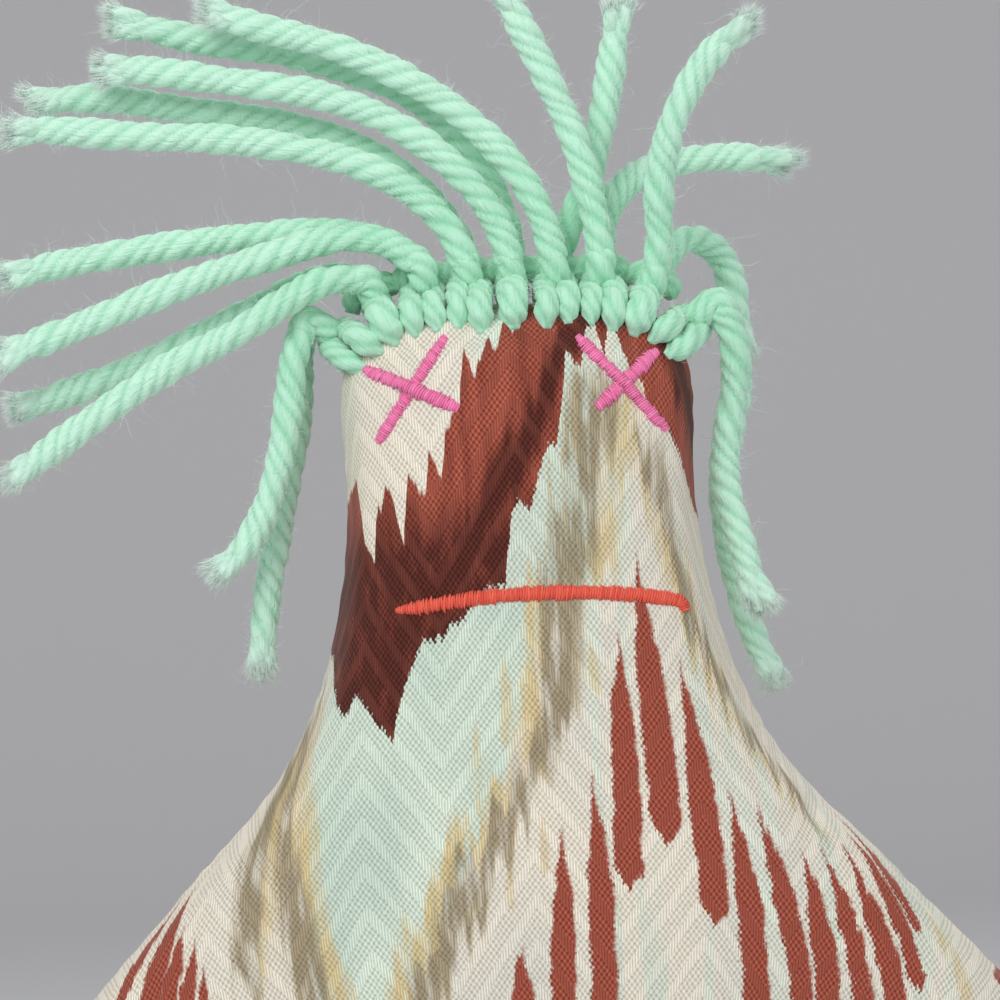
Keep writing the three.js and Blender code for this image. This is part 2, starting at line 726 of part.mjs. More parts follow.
function barCrossing(bar, other) {
  const [p, q] = [bar.from, bar.to].map(([x, z]) => plan(x, z));
  const [r, s] = [other.from, other.to].map(([x, z]) => plan(x, z));
  const along = q.clone().sub(p);
  const otherAlong = s.clone().sub(r);
  const share = r.clone().sub(p).cross(otherAlong) / along.cross(otherAlong);
  return p.addScaledVector(along, share);
}

function yarnTube(points, thickness, steps) {
  const corners = Array.from({ length: YARN_SIDES }, (_, i) => {
    const angle = (2 * Math.PI * i) / YARN_SIDES;
    return plan((Math.cos(angle) * thickness) / 2, (Math.sin(angle) * thickness) / 2);
  });
  const extrudePath = new THREE.CatmullRomCurve3(points, false, 'centripetal');
  return new THREE.ExtrudeGeometry(new THREE.Shape(corners), { steps, extrudePath, bevelEnabled: false });
}

// Where a knot sits on the crown seam and which way its crown faces
function knotSeat(number) {
  const place = (number - (KNOT_COUNT - 1) / 2) * KNOT_SPACING;
  const half = halfOutline.stretch(0, ROUND_STEPS / 2, evenShares(4 * ROUND_STEPS));
  let travelled = 0;
  let i = 0;
  while (i < half.length - 2 && travelled + half[i].distanceTo(half[i + 1]) < Math.abs(place)) {
    travelled += half[i].distanceTo(half[i + 1]);
    i += 1;
  }
  const along = half[i + 1].clone().sub(half[i]).normalize();
  const seat = half[i].clone().addScaledVector(along, Math.abs(place) - travelled);
  const out = turnedRight(along).negate();
  return place < 0 ? { seat: flipped(seat), out: flipped(out) } : { seat, out };
}

// One hitch of yarn, arched over the crown seam from the front cloth to the back
function knotGeometry({ seat, out }) {
  const reach = KNOT_YARN / 2 + CLEARANCE;
  const profile = (depth) => new THREE.Vector2(halfDepth(seat.clone().addScaledVector(out, -depth)), -depth);
  const sampleStep = 0.2;
  const side = KNOT_DEPTHS.map((depth) => {
    const along = profile(depth - sampleStep).sub(profile(depth + sampleStep)).normalize();
    return profile(depth).addScaledVector(turnedRight(along), reach);
  });
  const at = (y, rise) => new THREE.Vector3(seat.x + out.x * rise, y, seat.y + out.y * rise);
  const front = side.map((point) => at(-point.x, point.y));
  const back = side.map((point) => at(point.x, point.y)).reverse();
  return yarnTube([...front, at(0, reach), ...back], KNOT_YARN, 12);
}

// A free end of yarn, set off from the top of its knot
function tailGeometry({ seat, out }, places) {
  const rise = KNOT_YARN + 2 * CLEARANCE;
  const top = new THREE.Vector3(seat.x + out.x * rise, 0, seat.y + out.y * rise);
  const points = places.map(([x, y, z]) => new THREE.Vector3(x, y, z).add(top));
  return yarnTube(points, YARN, TAIL_STEPS);
}

const doll = new THREE.Group();

function addPiece(group, name, geometry, finish) {
  const material = new THREE.MeshStandardMaterial({ ...PALETTE[finish], metalness: 0 });
  const mesh = new THREE.Mesh(geometry, material);
  mesh.name = name;
  group.add(mesh);
}

// Cloth, front and back, and stuffing of one part of the doll
function addStuffedPart(group, name, region, shape = (geometry) => geometry) {
  const front = shape(clothHalf(region));
  addPiece(group, `${name}_front_cloth`, front, 'cloth');
  addPiece(group, `${name}_back_cloth`, flippedGeometry(front, 1), 'cloth');
  addPiece(group, `${name}_stuffing`, stuffing(region), 'stuffing');
}

function addLimb(limb, region, shape) {
  const left = new THREE.Group();
  addStuffedPart(left, `left_${limb}`, region, shape);
  const right = new THREE.Group();
  left.children.forEach((piece) => {
    const other = new THREE.Mesh(flippedGeometry(piece.geometry, 0), piece.material);
    other.name = piece.name.replace('left', 'right');
    right.add(other);
  });
  doll.add(left, right);
}

function addFold(name, region) {
  const sleeve = foldSleeve(region);
  addPiece(doll, `left_${name}_fold`, sleeve, 'cloth');
  addPiece(doll, `right_${name}_fold`, flippedGeometry(sleeve, 0), 'cloth');
}

const torso = new THREE.Group();
addStuffedPart(torso, 'torso', torsoPatch);
addPiece(torso, 'neck_fold', foldSleeve(neckPatch), 'cloth');
doll.add(torso);

const head = new THREE.Group();
addStuffedPart(head, 'head', headPatch);
Object.entries(EYE_BARS).forEach(([name, bar]) => {
  const crossing = bar.crosses ? barCrossing(bar, EYE_BARS[bar.crosses]) : null;
  addPiece(head, name, stitchBar([bar.from, bar.to], bar.width, crossing), 'eye');
});
addPiece(head, 'mouth', stitchBar(MOUTH_LINE, MOUTH_WIDTH, null), 'mouth');
doll.add(head);

const hair = new THREE.Group();
for (let number = 0; number < KNOT_COUNT; number += 1) {
  addPiece(hair, `hair_knot_${number + 1}`, knotGeometry(knotSeat(number)), 'yarn');
}
FRONT_TAILS.forEach((places, number) => {
  addPiece(hair, `hair_front_tail_${number + 1}`, tailGeometry(knotSeat(number), places), 'yarn');
});
BACK_TAILS.forEach((places, number) => {
  addPiece(hair, `hair_back_tail_${number + 1}`, tailGeometry(knotSeat(number), places), 'yarn');
});
head.add(hair);

addFold('shoulder', (outline) => {
  const inner = armLine(ARM_ROOT + CLEARANCE);
  return armBand(outline, inner, armLine(ARM_ROOT + SHOULDER_FOLD - CLEARANCE));
});
addLimb('arm', armPatch);
addFold('hip', (outline) => legBand(outline, shifted(hipLine, -CLEARANCE), shifted(legLine, CLEARANCE)));
addLimb('leg', legPatch, cutAtFloor);

export default doll;
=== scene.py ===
"""Stress relief doll: stuffed cotton skin, satin-stitched face and yarn hair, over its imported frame."""
import math

import bmesh
import bpy
import numpy as np
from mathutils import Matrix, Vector
from mathutils.bvhtree import BVHTree
from mathutils.kdtree import KDTree


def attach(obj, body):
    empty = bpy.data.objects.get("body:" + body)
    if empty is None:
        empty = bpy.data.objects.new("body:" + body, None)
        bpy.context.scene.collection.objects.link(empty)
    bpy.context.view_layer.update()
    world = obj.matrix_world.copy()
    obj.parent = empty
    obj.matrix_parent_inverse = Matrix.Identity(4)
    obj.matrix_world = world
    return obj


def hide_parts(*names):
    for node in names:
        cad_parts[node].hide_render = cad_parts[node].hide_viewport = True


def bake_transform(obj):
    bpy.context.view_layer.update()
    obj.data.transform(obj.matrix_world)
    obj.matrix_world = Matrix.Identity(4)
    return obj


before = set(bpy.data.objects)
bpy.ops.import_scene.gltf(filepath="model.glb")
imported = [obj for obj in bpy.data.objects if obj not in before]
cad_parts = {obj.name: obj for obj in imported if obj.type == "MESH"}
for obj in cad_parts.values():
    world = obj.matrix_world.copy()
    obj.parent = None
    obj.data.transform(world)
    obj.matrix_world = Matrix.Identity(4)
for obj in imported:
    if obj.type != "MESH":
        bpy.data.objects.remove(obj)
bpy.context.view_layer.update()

MM = 0.001
MM_PER_METRE = 1000

# Skin: parts, cloth, stuffing pressure and seam
PARTS = ("torso", "head", "left_arm", "right_arm", "left_leg", "right_leg")
FOLDS = ("neck_fold", "left_shoulder_fold", "right_shoulder_fold", "left_hip_fold", "right_hip_fold")
SKIN_VOXEL = 3 * MM
SKIN_OVER_GAPS = 0.8 * MM
STUFFING_PRESSURE = 4
STUFFING_FRAMES = 20
SWELL_CAP = 1.8 * MM
SEAM_HELD, SEAM_FREE = 2.5 * MM, 8 * MM
SEAM_SNAP = 0.9 * MM
SEAM_GROOVE = 0.7 * MM
SEAM_GROOVE_REACH = 1.1 * MM
PUCKER_LENGTH = 6.5 * MM
PUCKER_DEPTH = 0.13 * MM
PUCKER_REACH = 6 * MM
EDGE_ROUNDS = 4
LEVEL_BAND = 12 * MM
BACK_SHIFT = (1.009, 0.061)
IN_FRONT = 0.2

# Where the skin bends: the start and end of each fold
NECK_START, NECK_END = 217 * MM, 235 * MM
HIP_START, HIP_END = 85.5 * MM, 72 * MM
ARM_START = Vector((44.95, 0, 153.3)) * MM
ARM_END = Vector((59.8, 0, 151.2)) * MM
ARM_FLOOR = 120 * MM

# Face stitches, on the doll's front: ends in x and z, and width
EYE_BARS = {
    "left_eye_under_bar": ((25.9, 294.6), (14.5, 284.7), 2.9),
    "left_eye_over_bar": ((11.6, 297.8), (26.9, 280.3), 2.3),
    "right_eye_under_bar": ((-12.6, 298.8), (-25.5, 280.3), 2.3),
    "right_eye_over_bar": ((-27.5, 293.6), (-10.8, 285.6), 2.8),
}
MOUTH_LINE = ((-23.3, 249.5), (-4.7, 251.5), (13.8, 251.2), (25.5, 249.6), (28.3, 248.6), (28.9, 247.4))
MOUTH_WIDTH = 2.8
STITCH_PITCH = 0.46 * MM
STITCH_THREAD = 0.56 * MM
STITCH_CROWN = 0.6 * MM
STITCH_RINGS = (-0.36, -0.12, 0.12, 0.36)
STITCH_SLANT, STITCH_UNEVEN, STITCH_SHIFT = (0.12, 0.05), 0.09, 0.07 * MM
STITCH_THICKNESS = (0.85, 1.15)
STITCH_POINT, STITCH_FLAT, STITCH_SINK = 0.55, 0.9, 0.12 * MM
CROSSING_RISE, CROSSING_REACH = 1.0 * MM, 0.16
EYE_TIPS, EYE_POINT = (0.62, 0.62), 0.8
MOUTH_TIPS, MOUTH_POINT = (0.4, 0.75), 1.5
EYE_SEED, MOUTH_SEED = 50, 60

# Yarn: four plies twisted, knots over the crown seam and two tails from each
YARN = 5.6 * MM
PLIES = 4
YARN_SIDES = 32
PLY_LEAD = 15 * MM
PLY_GROOVE, GROOVE_WIDE, GROOVE_SHARP = 0.2, 0.45, 0.55
PLY_UNEVEN, UNEVEN_LENGTH = 0.3, 9 * MM
FIRST_WIDTH, LAST_WIDTH = 0.3, 0.1
TURN_WAVES = ((5.3 * MM, 0.25), (2.9 * MM, 0.12))
SWELL_WAVES = ((4.1 * MM, 0.05), (1.7 * MM, 0.03))
RING_STEP = 0.6 * MM
ROUTE_STEPS = 16
FIRST_SIDE = (0.3, 0.9, 0.2)
HAIR_ROOT, HAIR_OUT, HAIR_LEAN = 0.42, (0.3, 1.3), 0.8
HAZE_SPACING, HAZE_LENGTH, HAZE_RADIUS = 0.06 * MM, (0.7 * MM, 2.6 * MM), 0.032 * MM
HAZE_BEND, HAZE_STEPS = 0.3, 2
CURL_SPACING, CURL_LENGTH, CURL_RADIUS = 0.65 * MM, (3 * MM, 9 * MM), 0.03 * MM
CURL_BEND, CURL_STEPS = 0.5, 7
FRAY_COUNT, FRAY_START = 150, 3 * MM
FRAY_LENGTH, FRAY_RADIUS = (0.8 * MM, 3.4 * MM), 0.05 * MM
FRAY_OUT, FRAY_CATCH_UP, FRAY_BEND, FRAY_STEPS = 0.4, 0.7, 0.2, 2
SPLITS = 3
SPLIT_TURN, SPLIT_SHORTER = 0.3, 5
SPLIT_START = 10 * MM
SPLIT_WIDTH = 3.5 * MM
SPLIT_ROOT = 1.0 * MM
SPLIT_SPREAD = (0.2 * MM, 2.4 * MM)
KNOT_TOPS = (
    (-35.5, 301.96), (-26.4, 308.77), (-16.59, 311.05), (-8.05, 311.54), (0.05, 311.6),
    (8.05, 311.54), (16.59, 311.05), (26.4, 308.77), (35.5, 301.96),
)
KNOT_SEATS = (
    (-30.15, 298.07), (-23.76, 302.7), (-16.3, 304.45), (-8.05, 304.94), (0.05, 305),
    (8.05, 304.94), (16.3, 304.45), (23.76, 302.7), (30.15, 298.07),
)
KNOT_DEPTHS = (5.6, 3, 1.5)
KNOT_LIFT, KNOT_SINK = 0.45, 0.2
KNOT_TAPER, JOIN_TAPER, TAIL_TAPER = 3 * MM, 2 * MM, 1 * MM
SPLIT_TAPERS = (4 * MM, 1.6 * MM)
FUZZ_SEEDS = {"front": 31, "back": 32, "knot": 34}
FRAY_SEED, KNOT_SEED = 33, 100
TAIL_SEEDS = {"front": 200, "back": 220}
CORD_STEPS = 30
JOIN_LENGTH = 4 * MM
ROOT_RISE, ROOT_INWARD = 2.7 * MM, 0.4
KNOT_BARE_RINGS = 7
# The bight that crosses behind a knot's strands: beside its middle and up, in millimetres
KNOT_BIGHT = ((-4.8, 4), (-2.5, 6.6), (2.5, 6.6), (4.8, 4))
BIGHT_YARN, BIGHT_BACK = 5 * MM, 2.5 * MM
DENT_BELOW, DENT_DEPTH, DENT_REACH = 5.8 * MM, 1.2 * MM, 2.6 * MM
# The strands of a knot, of three kinds: how far beside its middle, how thick and how much higher
KNOT_STRANDS = (
    ((-2.0, 4.8, 0.6), (2.0, 4.8, 1.2)),
    ((-1.9, 4.6, 1.2), (2.1, 5.0, 0.3)),
    ((0.0, 6.2, 0.8),),
)
FRONT_TAILS = (
    ((-2.5, -3.5, 1.5), (-5, -4, -5), (-6.5, -3.5, -14), (-8.5, -3.5, -24), (-12.5, -3.5, -35),
     (-17.5, -3.5, -42), (-23, -3.5, -46)),
    ((-0.5, -4, 1.5), (-7.5, -6.5, 1.5), (-15, -8, -2), (-24.5, -8, -7.5), (-37.5, -7, -13.5),
     (-50.5, -7, -21.5), (-62.5, -7, -29.5), (-68.5, -7, -33.5)),
    ((0, -4, 1.5), (-6.5, -4, 6), (-15.5, -4, 7), (-28.5, -4.5, 4), (-44.5, -5, -0.5),
     (-61.5, -5, -6.5), (-74.5, -5, -11), (-79.5, -5, -13)),
    ((0, -3.5, 0), (-2.5, -4, 6.5), (-8, -4, 13), (-16, -4.5, 18.5), (-27, -4.5, 22.5),
     (-43, -5, 25.5), (-61, -5, 27), (-74, -5, 28.5), (-85, -5, 29.5)),
    ((0, -3.5, 0), (-2, -4, 7.5), (-7, -4, 15.5), (-14, -4, 22.5), (-23, -4, 28.5),
     (-34, -4, 33), (-49, -4, 36), (-67, -4, 39), (-76, -4, 39.5)),
    ((0, -3.5, 0), (-1.5, -4, 7.5), (-5, -4, 15.5), (-12, -4, 24.5), (-22, -4, 33),
     (-38, -4, 41.5), (-54, -4, 46.5), (-64, -4, 50.5)),
    ((0, -3.5, 0), (-0.5, -4, 7), (-3.5, -4, 22), (-8.5, -4.5, 35), (-13.5, -5, 46), (-17.5, -5, 54)),
    ((0, -3.5, 0), (1, -5, 6), (1.5, -7.5, 17), (4.5, -10, 28), (10.5, -12, 38), (19.5, -14, 46)),
    ((2.5, -3, 1.5), (5, -1.5, -5), (5, 0.5, -13), (3.5, 2, -21), (2.5, 3, -31), (5.5, 3, -45),
     (8, 3, -56)),
)
BACK_TAILS = (
    ((-2.5, 3.5, 1.5), (-4.5, 4, -5), (-5, 4, -13), (-6.5, 4, -23), (-9.5, 4, -35),
     (-12.5, 4, -50), (-14.5, 4, -65)),
    ((-0.5, 4, 1.5), (-7.5, 4.5, 2.5), (-15.5, 4.5, 0), (-23.5, 4, -3.5), (-37.5, 4, -10),
     (-54.5, 4, -16), (-68.5, 4, -20)),
    ((0, 4, 1.5), (-6.5, 4, 6.5), (-15.5, 4, 8.5), (-31.5, 4, 8.5), (-50.5, 4, 7), (-66.5, 4, 5),
     (-78.5, 4, 3)),
    ((0, 3.5, 0), (-2, 4, 6.5), (-6.5, 4, 13.5), (-13, 4, 19.5), (-21, 4, 24.5), (-32, 4, 28.5),
     (-48, 4, 31.5), (-67, 4, 35), (-81, 4, 34.5)),
    ((0, 3.5, 0), (-0.5, 4, 7.5), (-3.5, 4, 16.5), (-9, 4, 25.5), (-19, 4, 34), (-37, 4, 41),
     (-56, 4, 45), (-73, 4, 49.5)),
    ((0, 3.5, 0), (2.5, 4, 6.5), (6.5, 5, 14.5), (10, 6, 26.5), (12.5, 7, 38.5), (14, 7, 50.5)),
    ((0, 3.5, 0), (0.5, 5.5, 6), (2.5, 10, 12), (7, 15.5, 17), (14.5, 20, 20), (25.5, 23.5, 21),
     (38.5, 25, 19.5)),
    ((0.5, 3.5, 1), (3, 6, 4.5), (6, 9, 7), (9.5, 12.5, 7), (13, 15.5, 4.5), (15, 17.5, 0),
     (16, 19, -7), (17, 19.5, -16)),
    ((2, 4, 1.5), (5.5, 7, -4.5), (6, 10, -14), (4, 12.5, -23), (2.5, 14, -33), (4, 14, -47),
     (7, 14, -60), (11.5, 14, -71)),
)

# Printed cotton, in millimetres of flat cloth: one repeat of the print, its shapes and the weave
TILE_U, TILE_V = (-82, 82), (170, 322)
RUSSET_U = (-50, 44)
RUSSET_UPPER = (
    (-50, 284), (-41.5, 279.5), (-33.2, 282), (-30.2, 270), (-27.9, 265.5), (-27, 277), (-26.3, 275),
    (-25, 279), (-23.8, 278), (-21.7, 268), (-20.3, 281), (-17.1, 275.5), (-16.2, 284), (-14, 279),
    (-13.1, 286), (-11.3, 290), (-9.6, 292), (-8.6, 303), (-6.9, 296), (-4.2, 304.5), (-2.8, 301),
    (-1.6, 309.5), (-0.1, 305.5), (1, 311), (3.4, 316), (10, 318), (18, 314), (24, 319), (33, 315),
    (44, 318),
)
RUSSET_LOWER = (
    (-50, 256), (-43, 251), (-33.7, 237), (-31.9, 242), (-24.5, 232), (-23.4, 237.5), (-21.8, 242.5),
    (-19, 249), (-15, 250.5), (-10.3, 254.7), (-7, 258), (-3.3, 259.5), (-1.9, 270.5), (-0.7, 275),
    (1.2, 271.5), (3.3, 278), (5, 283.5), (7, 284), (8, 291.5), (9, 301), (11.4, 297), (12.7, 305),
    (14.5, 308), (15.6, 300), (17.2, 308), (18.6, 304.5), (19.2, 300.5), (20.3, 297), (22.7, 295.5),
    (23.6, 290), (28, 287.5), (36.6, 276.5), (44, 271),
)
RUSSET_CORE = (
    (-50, 236), (-28.9, 242), (-22.9, 250.5), (-17, 257.5), (-9.5, 266.5), (-3.7, 276), (1.3, 284.5),
    (5, 293.5), (9.9, 304), (14, 311), (22, 318), (30, 300), (44, 284),
)
DARK_BELOW = 273
PATCH_U = (-34, 30)
PATCH_UPPER = (
    (-34, 262), (-28, 270), (-24, 264), (-19, 281), (-15, 274), (-9, 292), (-5, 284), (2, 303), (7, 296),
    (13, 310), (19, 300), (24, 306), (30, 296),
)
PATCH_LOWER = (
    (-34, 258), (-29, 244), (-24, 250), (-17, 239), (-11, 252), (-4, 247), (3, 262), (10, 258), (16, 273),
    (22, 270), (30, 290),
)
MINT_LEFT, MINT_TOP = -41, 258
CHEEK_LEFT, CHEEK_RIGHT, CHEEK_LOW = (-8, -4), 14, 256
CHEST_LEFT, CHEST_RIGHT = 8, 76
DARK_RIGHT, CORE_HALF = 12, 6
MINT_RIGHT = ((170, -31), (184, -25.5), (191, -21), (205, -13), (223, -5), (240, 0), (254, 4), (322, 6))
STREAKS = (
    (((170, -27), (185.5, -22.5), (196.5, -18), (209, -12), (219.5, -6), (224.5, -2.7), (232.5, 2.7),
      (245, 4.2), (254.5, 4.7), (262, 6)), 5.2, -1),
    (((170, -41), (188, -41), (204.5, -42), (220, -44), (233, -46.8), (246, -46)), 4.5, 1),
    (((188, -53), (204, -50.5), (216, -50), (228, -50), (240, -50)), 3.5, 1),
    (((256, 8), (262, 9.5), (277, 12.5), (291.5, 15), (300, 17)), 6.5, 1),
    (((214, 52), (222, 47), (234.5, 39), (252.5, 30.5), (271, 27), (290, 21)), 2.8, -1),
)
GOLD_LEAVES = (
    ((-37.5, 199), (-35.5, 172), 5), ((-10, 236), (-9.5, 216), 2.4), ((-4.3, 247.5), (-4.4, 229), 2.6),
    ((-0.7, 246.5), (-0.6, 233), 2.2), ((10.9, 249), (11.6, 238), 2), ((-24.5, 201), (-25.8, 182), 3.2),
    ((-18.8, 207.5), (-19.6, 192), 2.4), ((-15.2, 214), (-15.4, 204), 2), ((-5, 209), (-5.3, 199), 1.6),
    ((1.2, 217), (1, 206), 1.6), ((70, 206), (80, 184), 3.4),
)
SPINDLES = (
    ((15.9, 251), (15.5, 202), 5.2), ((20.4, 265), (22.6, 210), 5.4), ((27.2, 246), (30.6, 195), 5),
    ((10, 225), (11, 173), 4.8), ((4.2, 215), (3, 172), 4.4), ((-3.9, 194), (-4.2, 171), 3.8),
    ((33.6, 222), (40, 172), 5), ((38.4, 219), (49, 176), 4.5), ((46, 211), (54, 176), 4.7),
    ((50.2, 212), (61, 177), 4.1), ((54.3, 213), (67, 179), 4.5), ((57.8, 217), (69, 187), 3.7),
    ((58.6, 221), (68.5, 198), 2.6), ((-64.6, 214), (-73.5, 189), 4.6), ((-64.4, 204.5), (-70.5, 186), 3.8),
    ((-61.8, 202), (-67, 184), 3), ((-60.8, 196.5), (-63.5, 183), 2.2), ((-68.5, 214), (-79, 194), 3.2),
)
PIT_SPACING = (1.0, 1.38)
FLOAT_PITCH = 0.5
HERRINGBONE_START, HERRINGBONE_WIDTH = -15.5, 14.75
RIB_SLOPE, RIB_PITCH, RIB_RISE = 1.6, 8.3, 1.3
RIB_EDGE = (0.3, 0.38)


def tint(red, green, blue):
    """A colour from its 0 to 255 screen values."""
    def linear(value):
        share = value / 255
        return share / 12.92 if share <= 0.04045 else ((share + 0.055) / 1.055) ** 2.4
    return linear(red), linear(green), linear(blue), 1


CREAM, CREAM_GREY = tint(224, 216, 200), tint(212, 208, 196)
MINT_PALE, MINT_DEEP = tint(210, 222, 206), tint(190, 207, 193)
TAUPE, GOLD = tint(142, 127, 98), tint(203, 184, 136)
RUSSET, RUSSET_LIGHT = tint(156, 76, 59), tint(162, 81, 63)
BROWN, DARK_BROWN = tint(136, 64, 49), tint(78, 32, 24)
# The first colour on the next line is painted shade for the yarn's grooves between plies, also used for
# darker random streaks; the second is the yarn's own mid green
YARN_SHADE_AND_STREAK, YARN_MID = tint(108, 196, 149), tint(154, 225, 186)
# The first colour on the next line is a painted highlight for the ply crowns, also used for paler random
# streaks
YARN_HIGHLIGHT_AND_STREAK, YARN_TIP, FIBRE_TIP = tint(204, 247, 224), tint(226, 251, 239), tint(240, 252, 246)
# Thread tones: painted shade for the ply's low spots, the plain colour, and a painted highlight given to
# some strands at random
PINK_TONES = tint(190, 62, 116), tint(232, 108, 160), tint(250, 146, 194)
RED_TONES = tint(172, 40, 26), tint(222, 76, 58), tint(246, 112, 88)
WEAVE_SHADE = (0.22, 0.21, 0.19, 1)
WEAVE_SHINE, RUSSET_SHINE = (1.4, 1.4, 1.4, 1), (1.5, 1.65, 1.7, 1)

# Camera, in the plane of the doll's seam
VIEW_CENTRE = Vector((-3.9, 0, 268.7)) * MM
VIEW_WIDTH = 185 * MM
VIEW_DISTANCE = 0.8
VIEW_ROLL = math.radians(2.5)

# Stage and lamps: place, size and power, in metres and watts
FLOOR_WIDTH, FLOOR_DEPTH, FLOOR_HEIGHT, FLOOR_BEND = 6, 3, 4, 1.0
FLOOR_COLOUR = tint(218, 218, 220)
AMBIENT = 0.5
LAMP_AIM = (0, 0, 0.2)
LAMPS = {
    "key": ((-0.5, -1.0, 1.1), 0.8, 10),
    "fill": ((0.9, -0.9, 0.6), 1.0, 3),
    "rim": ((0.2, 0.9, 1.1), 0.9, 5),
}


def take(*objects):
    """Leaves these objects, and nothing else, selected, with the first one active."""
    bpy.ops.object.select_all(action="DESELECT")
    for each in objects:
        each.select_set(True)
    bpy.context.view_layer.objects.active = objects[0]


def places(mesh):
    """All vertex places of a mesh as an array."""
    flat = np.empty(len(mesh.vertices) * 3)
    mesh.vertices.foreach_get("co", flat)
    return flat.reshape(-1, 3)


def put_places(mesh, where):
    mesh.vertices.foreach_set("co", np.asarray(where, float).ravel())
    mesh.update()


def directions(mesh):
    """All vertex normals of a mesh as an array."""
    flat = np.empty(len(mesh.vertices) * 3)
    mesh.vertex_normals.foreach_get("vector", flat)
    return flat.reshape(-1, 3)


def add_object(name, data):
    made = bpy.data.objects.new(name, data)
    bpy.context.scene.collection.objects.link(made)
    return made


def new_piece(name, vertices, faces):
    mesh = bpy.data.meshes.new(name)
    mesh.from_pydata([tuple(v) for v in vertices], [], [tuple(f) for f in faces])
    mesh.update()
    mesh.shade_smooth()
    return add_object(name, mesh)


def copy_of(source, name):
    return add_object(name, source.data.copy())


def unit(ways):
    """These directions, each with a length of one."""
    return ways / np.linalg.norm(ways, axis=-1, keepdims=True)


def apply_all(piece):
    take(piece)
    for modifier in list(piece.modifiers):
        bpy.ops.object.modifier_apply(modifier=modifier.name)


def in_edit_mode(*steps):
    """Runs modelling steps on the active piece in edit mode, with all of it selected."""
    bpy.ops.object.mode_set(mode="EDIT")
    bpy.ops.mesh.select_all(action="SELECT")
    for step in steps:
        step()
    bpy.ops.object.mode_set(mode="OBJECT")


def cut(piece, at, out, floor=-1.0):
    """Cuts a piece along a plane, above a floor, and drops what lies on the plane's outer side."""
    take(piece)
    bpy.ops.object.mode_set(mode="EDIT")
    bpy.ops.mesh.select_all(action="DESELECT")
    bpy.ops.object.mode_set(mode="OBJECT")
    for face in piece.data.polygons:
        face.select = face.center.z > floor
    bpy.ops.object.mode_set(mode="EDIT")
    bpy.ops.mesh.bisect(plane_co=at, plane_no=out, clear_outer=True, threshold=1e-6)
    bpy.ops.object.mode_set(mode="OBJECT")


def largest_island(piece):
    """Keeps only the largest connected shell of a piece."""
    shell = bmesh.new()
    shell.from_mesh(piece.data)
    left = set(shell.verts)
    islands = []
    while left:
        first = left.pop()
        island = {first}
        edge = [first]
        while edge:
            vertex = edge.pop()
            for link in vertex.link_edges:
                other = link.other_vert(vertex)
                if other in left:
                    left.discard(other)
                    island.add(other)
                    edge.append(other)
        islands.append(island)
    islands.sort(key=len, reverse=True)
    for island in islands[1:]:
        bmesh.ops.delete(shell, geom=list(island), context="VERTS")
    shell.to_mesh(piece.data)
    shell.free()


def whole_skin():
    """One closed shell round the cloth, the stuffing and the folds."""
    layers = [f"{part}_{layer}" for part in PARTS for layer in ("front_cloth", "back_cloth", "stuffing")]
    copies = [copy_of(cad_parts[name], "skin_" + name) for name in layers + list(FOLDS)]
    take(*copies)
    bpy.ops.object.join()
    skin = bpy.context.object
    skin.name = "skin"
    skin.data.materials.clear()
    in_edit_mode(lambda: bpy.ops.mesh.remove_doubles(threshold=1e-6))
    put_places(skin.data, places(skin.data) + directions(skin.data) * SKIN_OVER_GAPS)
    skin.data.remesh_voxel_size = SKIN_VOXEL
    skin.data.use_remesh_fix_poles = True
    bpy.ops.object.voxel_remesh()
    largest_island(skin)
    in_edit_mode(lambda: bpy.ops.mesh.vertices_smooth(factor=0.5, repeat=3))
    return skin


def stuff(skin):
    """Blows the cloth out against its stuffing, within the cap."""
    start = places(skin.data)
    held = skin.vertex_groups.new(name="seam")
    for index, depth in enumerate(np.abs(start[:, 1])):
        held.add([index], float(np.clip((SEAM_FREE - depth) / (SEAM_FREE - SEAM_HELD), 0, 1)), "REPLACE")
    cloth = skin.modifiers.new("stuffing", "CLOTH")
    cloth.settings.vertex_group_mass = "seam"
    cloth.settings.pin_stiffness = 1
    cloth.settings.quality = 5
    cloth.settings.mass = 0.2
    cloth.settings.tension_stiffness = 25
    cloth.settings.compression_stiffness = 25
    cloth.settings.shear_stiffness = 10
    cloth.settings.bending_stiffness = 0.6
    cloth.settings.use_pressure = True
    cloth.settings.uniform_pressure_force = STUFFING_PRESSURE
    cloth.settings.effector_weights.gravity = 0
    cloth.point_cache.frame_start = 1
    cloth.point_cache.frame_end = STUFFING_FRAMES
    for step in range(1, STUFFING_FRAMES + 1):
        bpy.context.scene.frame_set(step)
    apply_all(skin)
    bpy.context.scene.frame_set(1)
    move = places(skin.data) - start
    reach = np.linalg.norm(move, axis=1, keepdims=True)
    share = SWELL_CAP * np.tanh(reach / SWELL_CAP) / np.maximum(reach, 1e-9)
    put_places(skin.data, start + move * share)
    skin.vertex_groups.clear()


def smooth_edge(panel, rounds):
    """Evens out the panel's cut edge, which stays in the plane of the seam."""
    shell = bmesh.new()
    shell.from_mesh(panel.data)
    edge = [v for v in shell.verts if v.is_boundary]
    for _ in range(rounds):
        moved = {}
        for vertex in edge:
            beside = [e.other_vert(vertex).co for e in vertex.link_edges if e.is_boundary]
            middle = sum(beside, Vector()) / len(beside)
            moved[vertex] = vertex.co.lerp(middle, 0.5)
        for vertex, where in moved.items():
            vertex.co = (where.x, 0, where.z)
    shell.to_mesh(panel.data)
    shell.free()


def flat_corners(layer):
    """The places of a flat map, one for each face corner."""
    corners = np.empty(len(layer.data) * 2)
    layer.data.foreach_get("uv", corners)
    return corners.reshape(-1, 2)


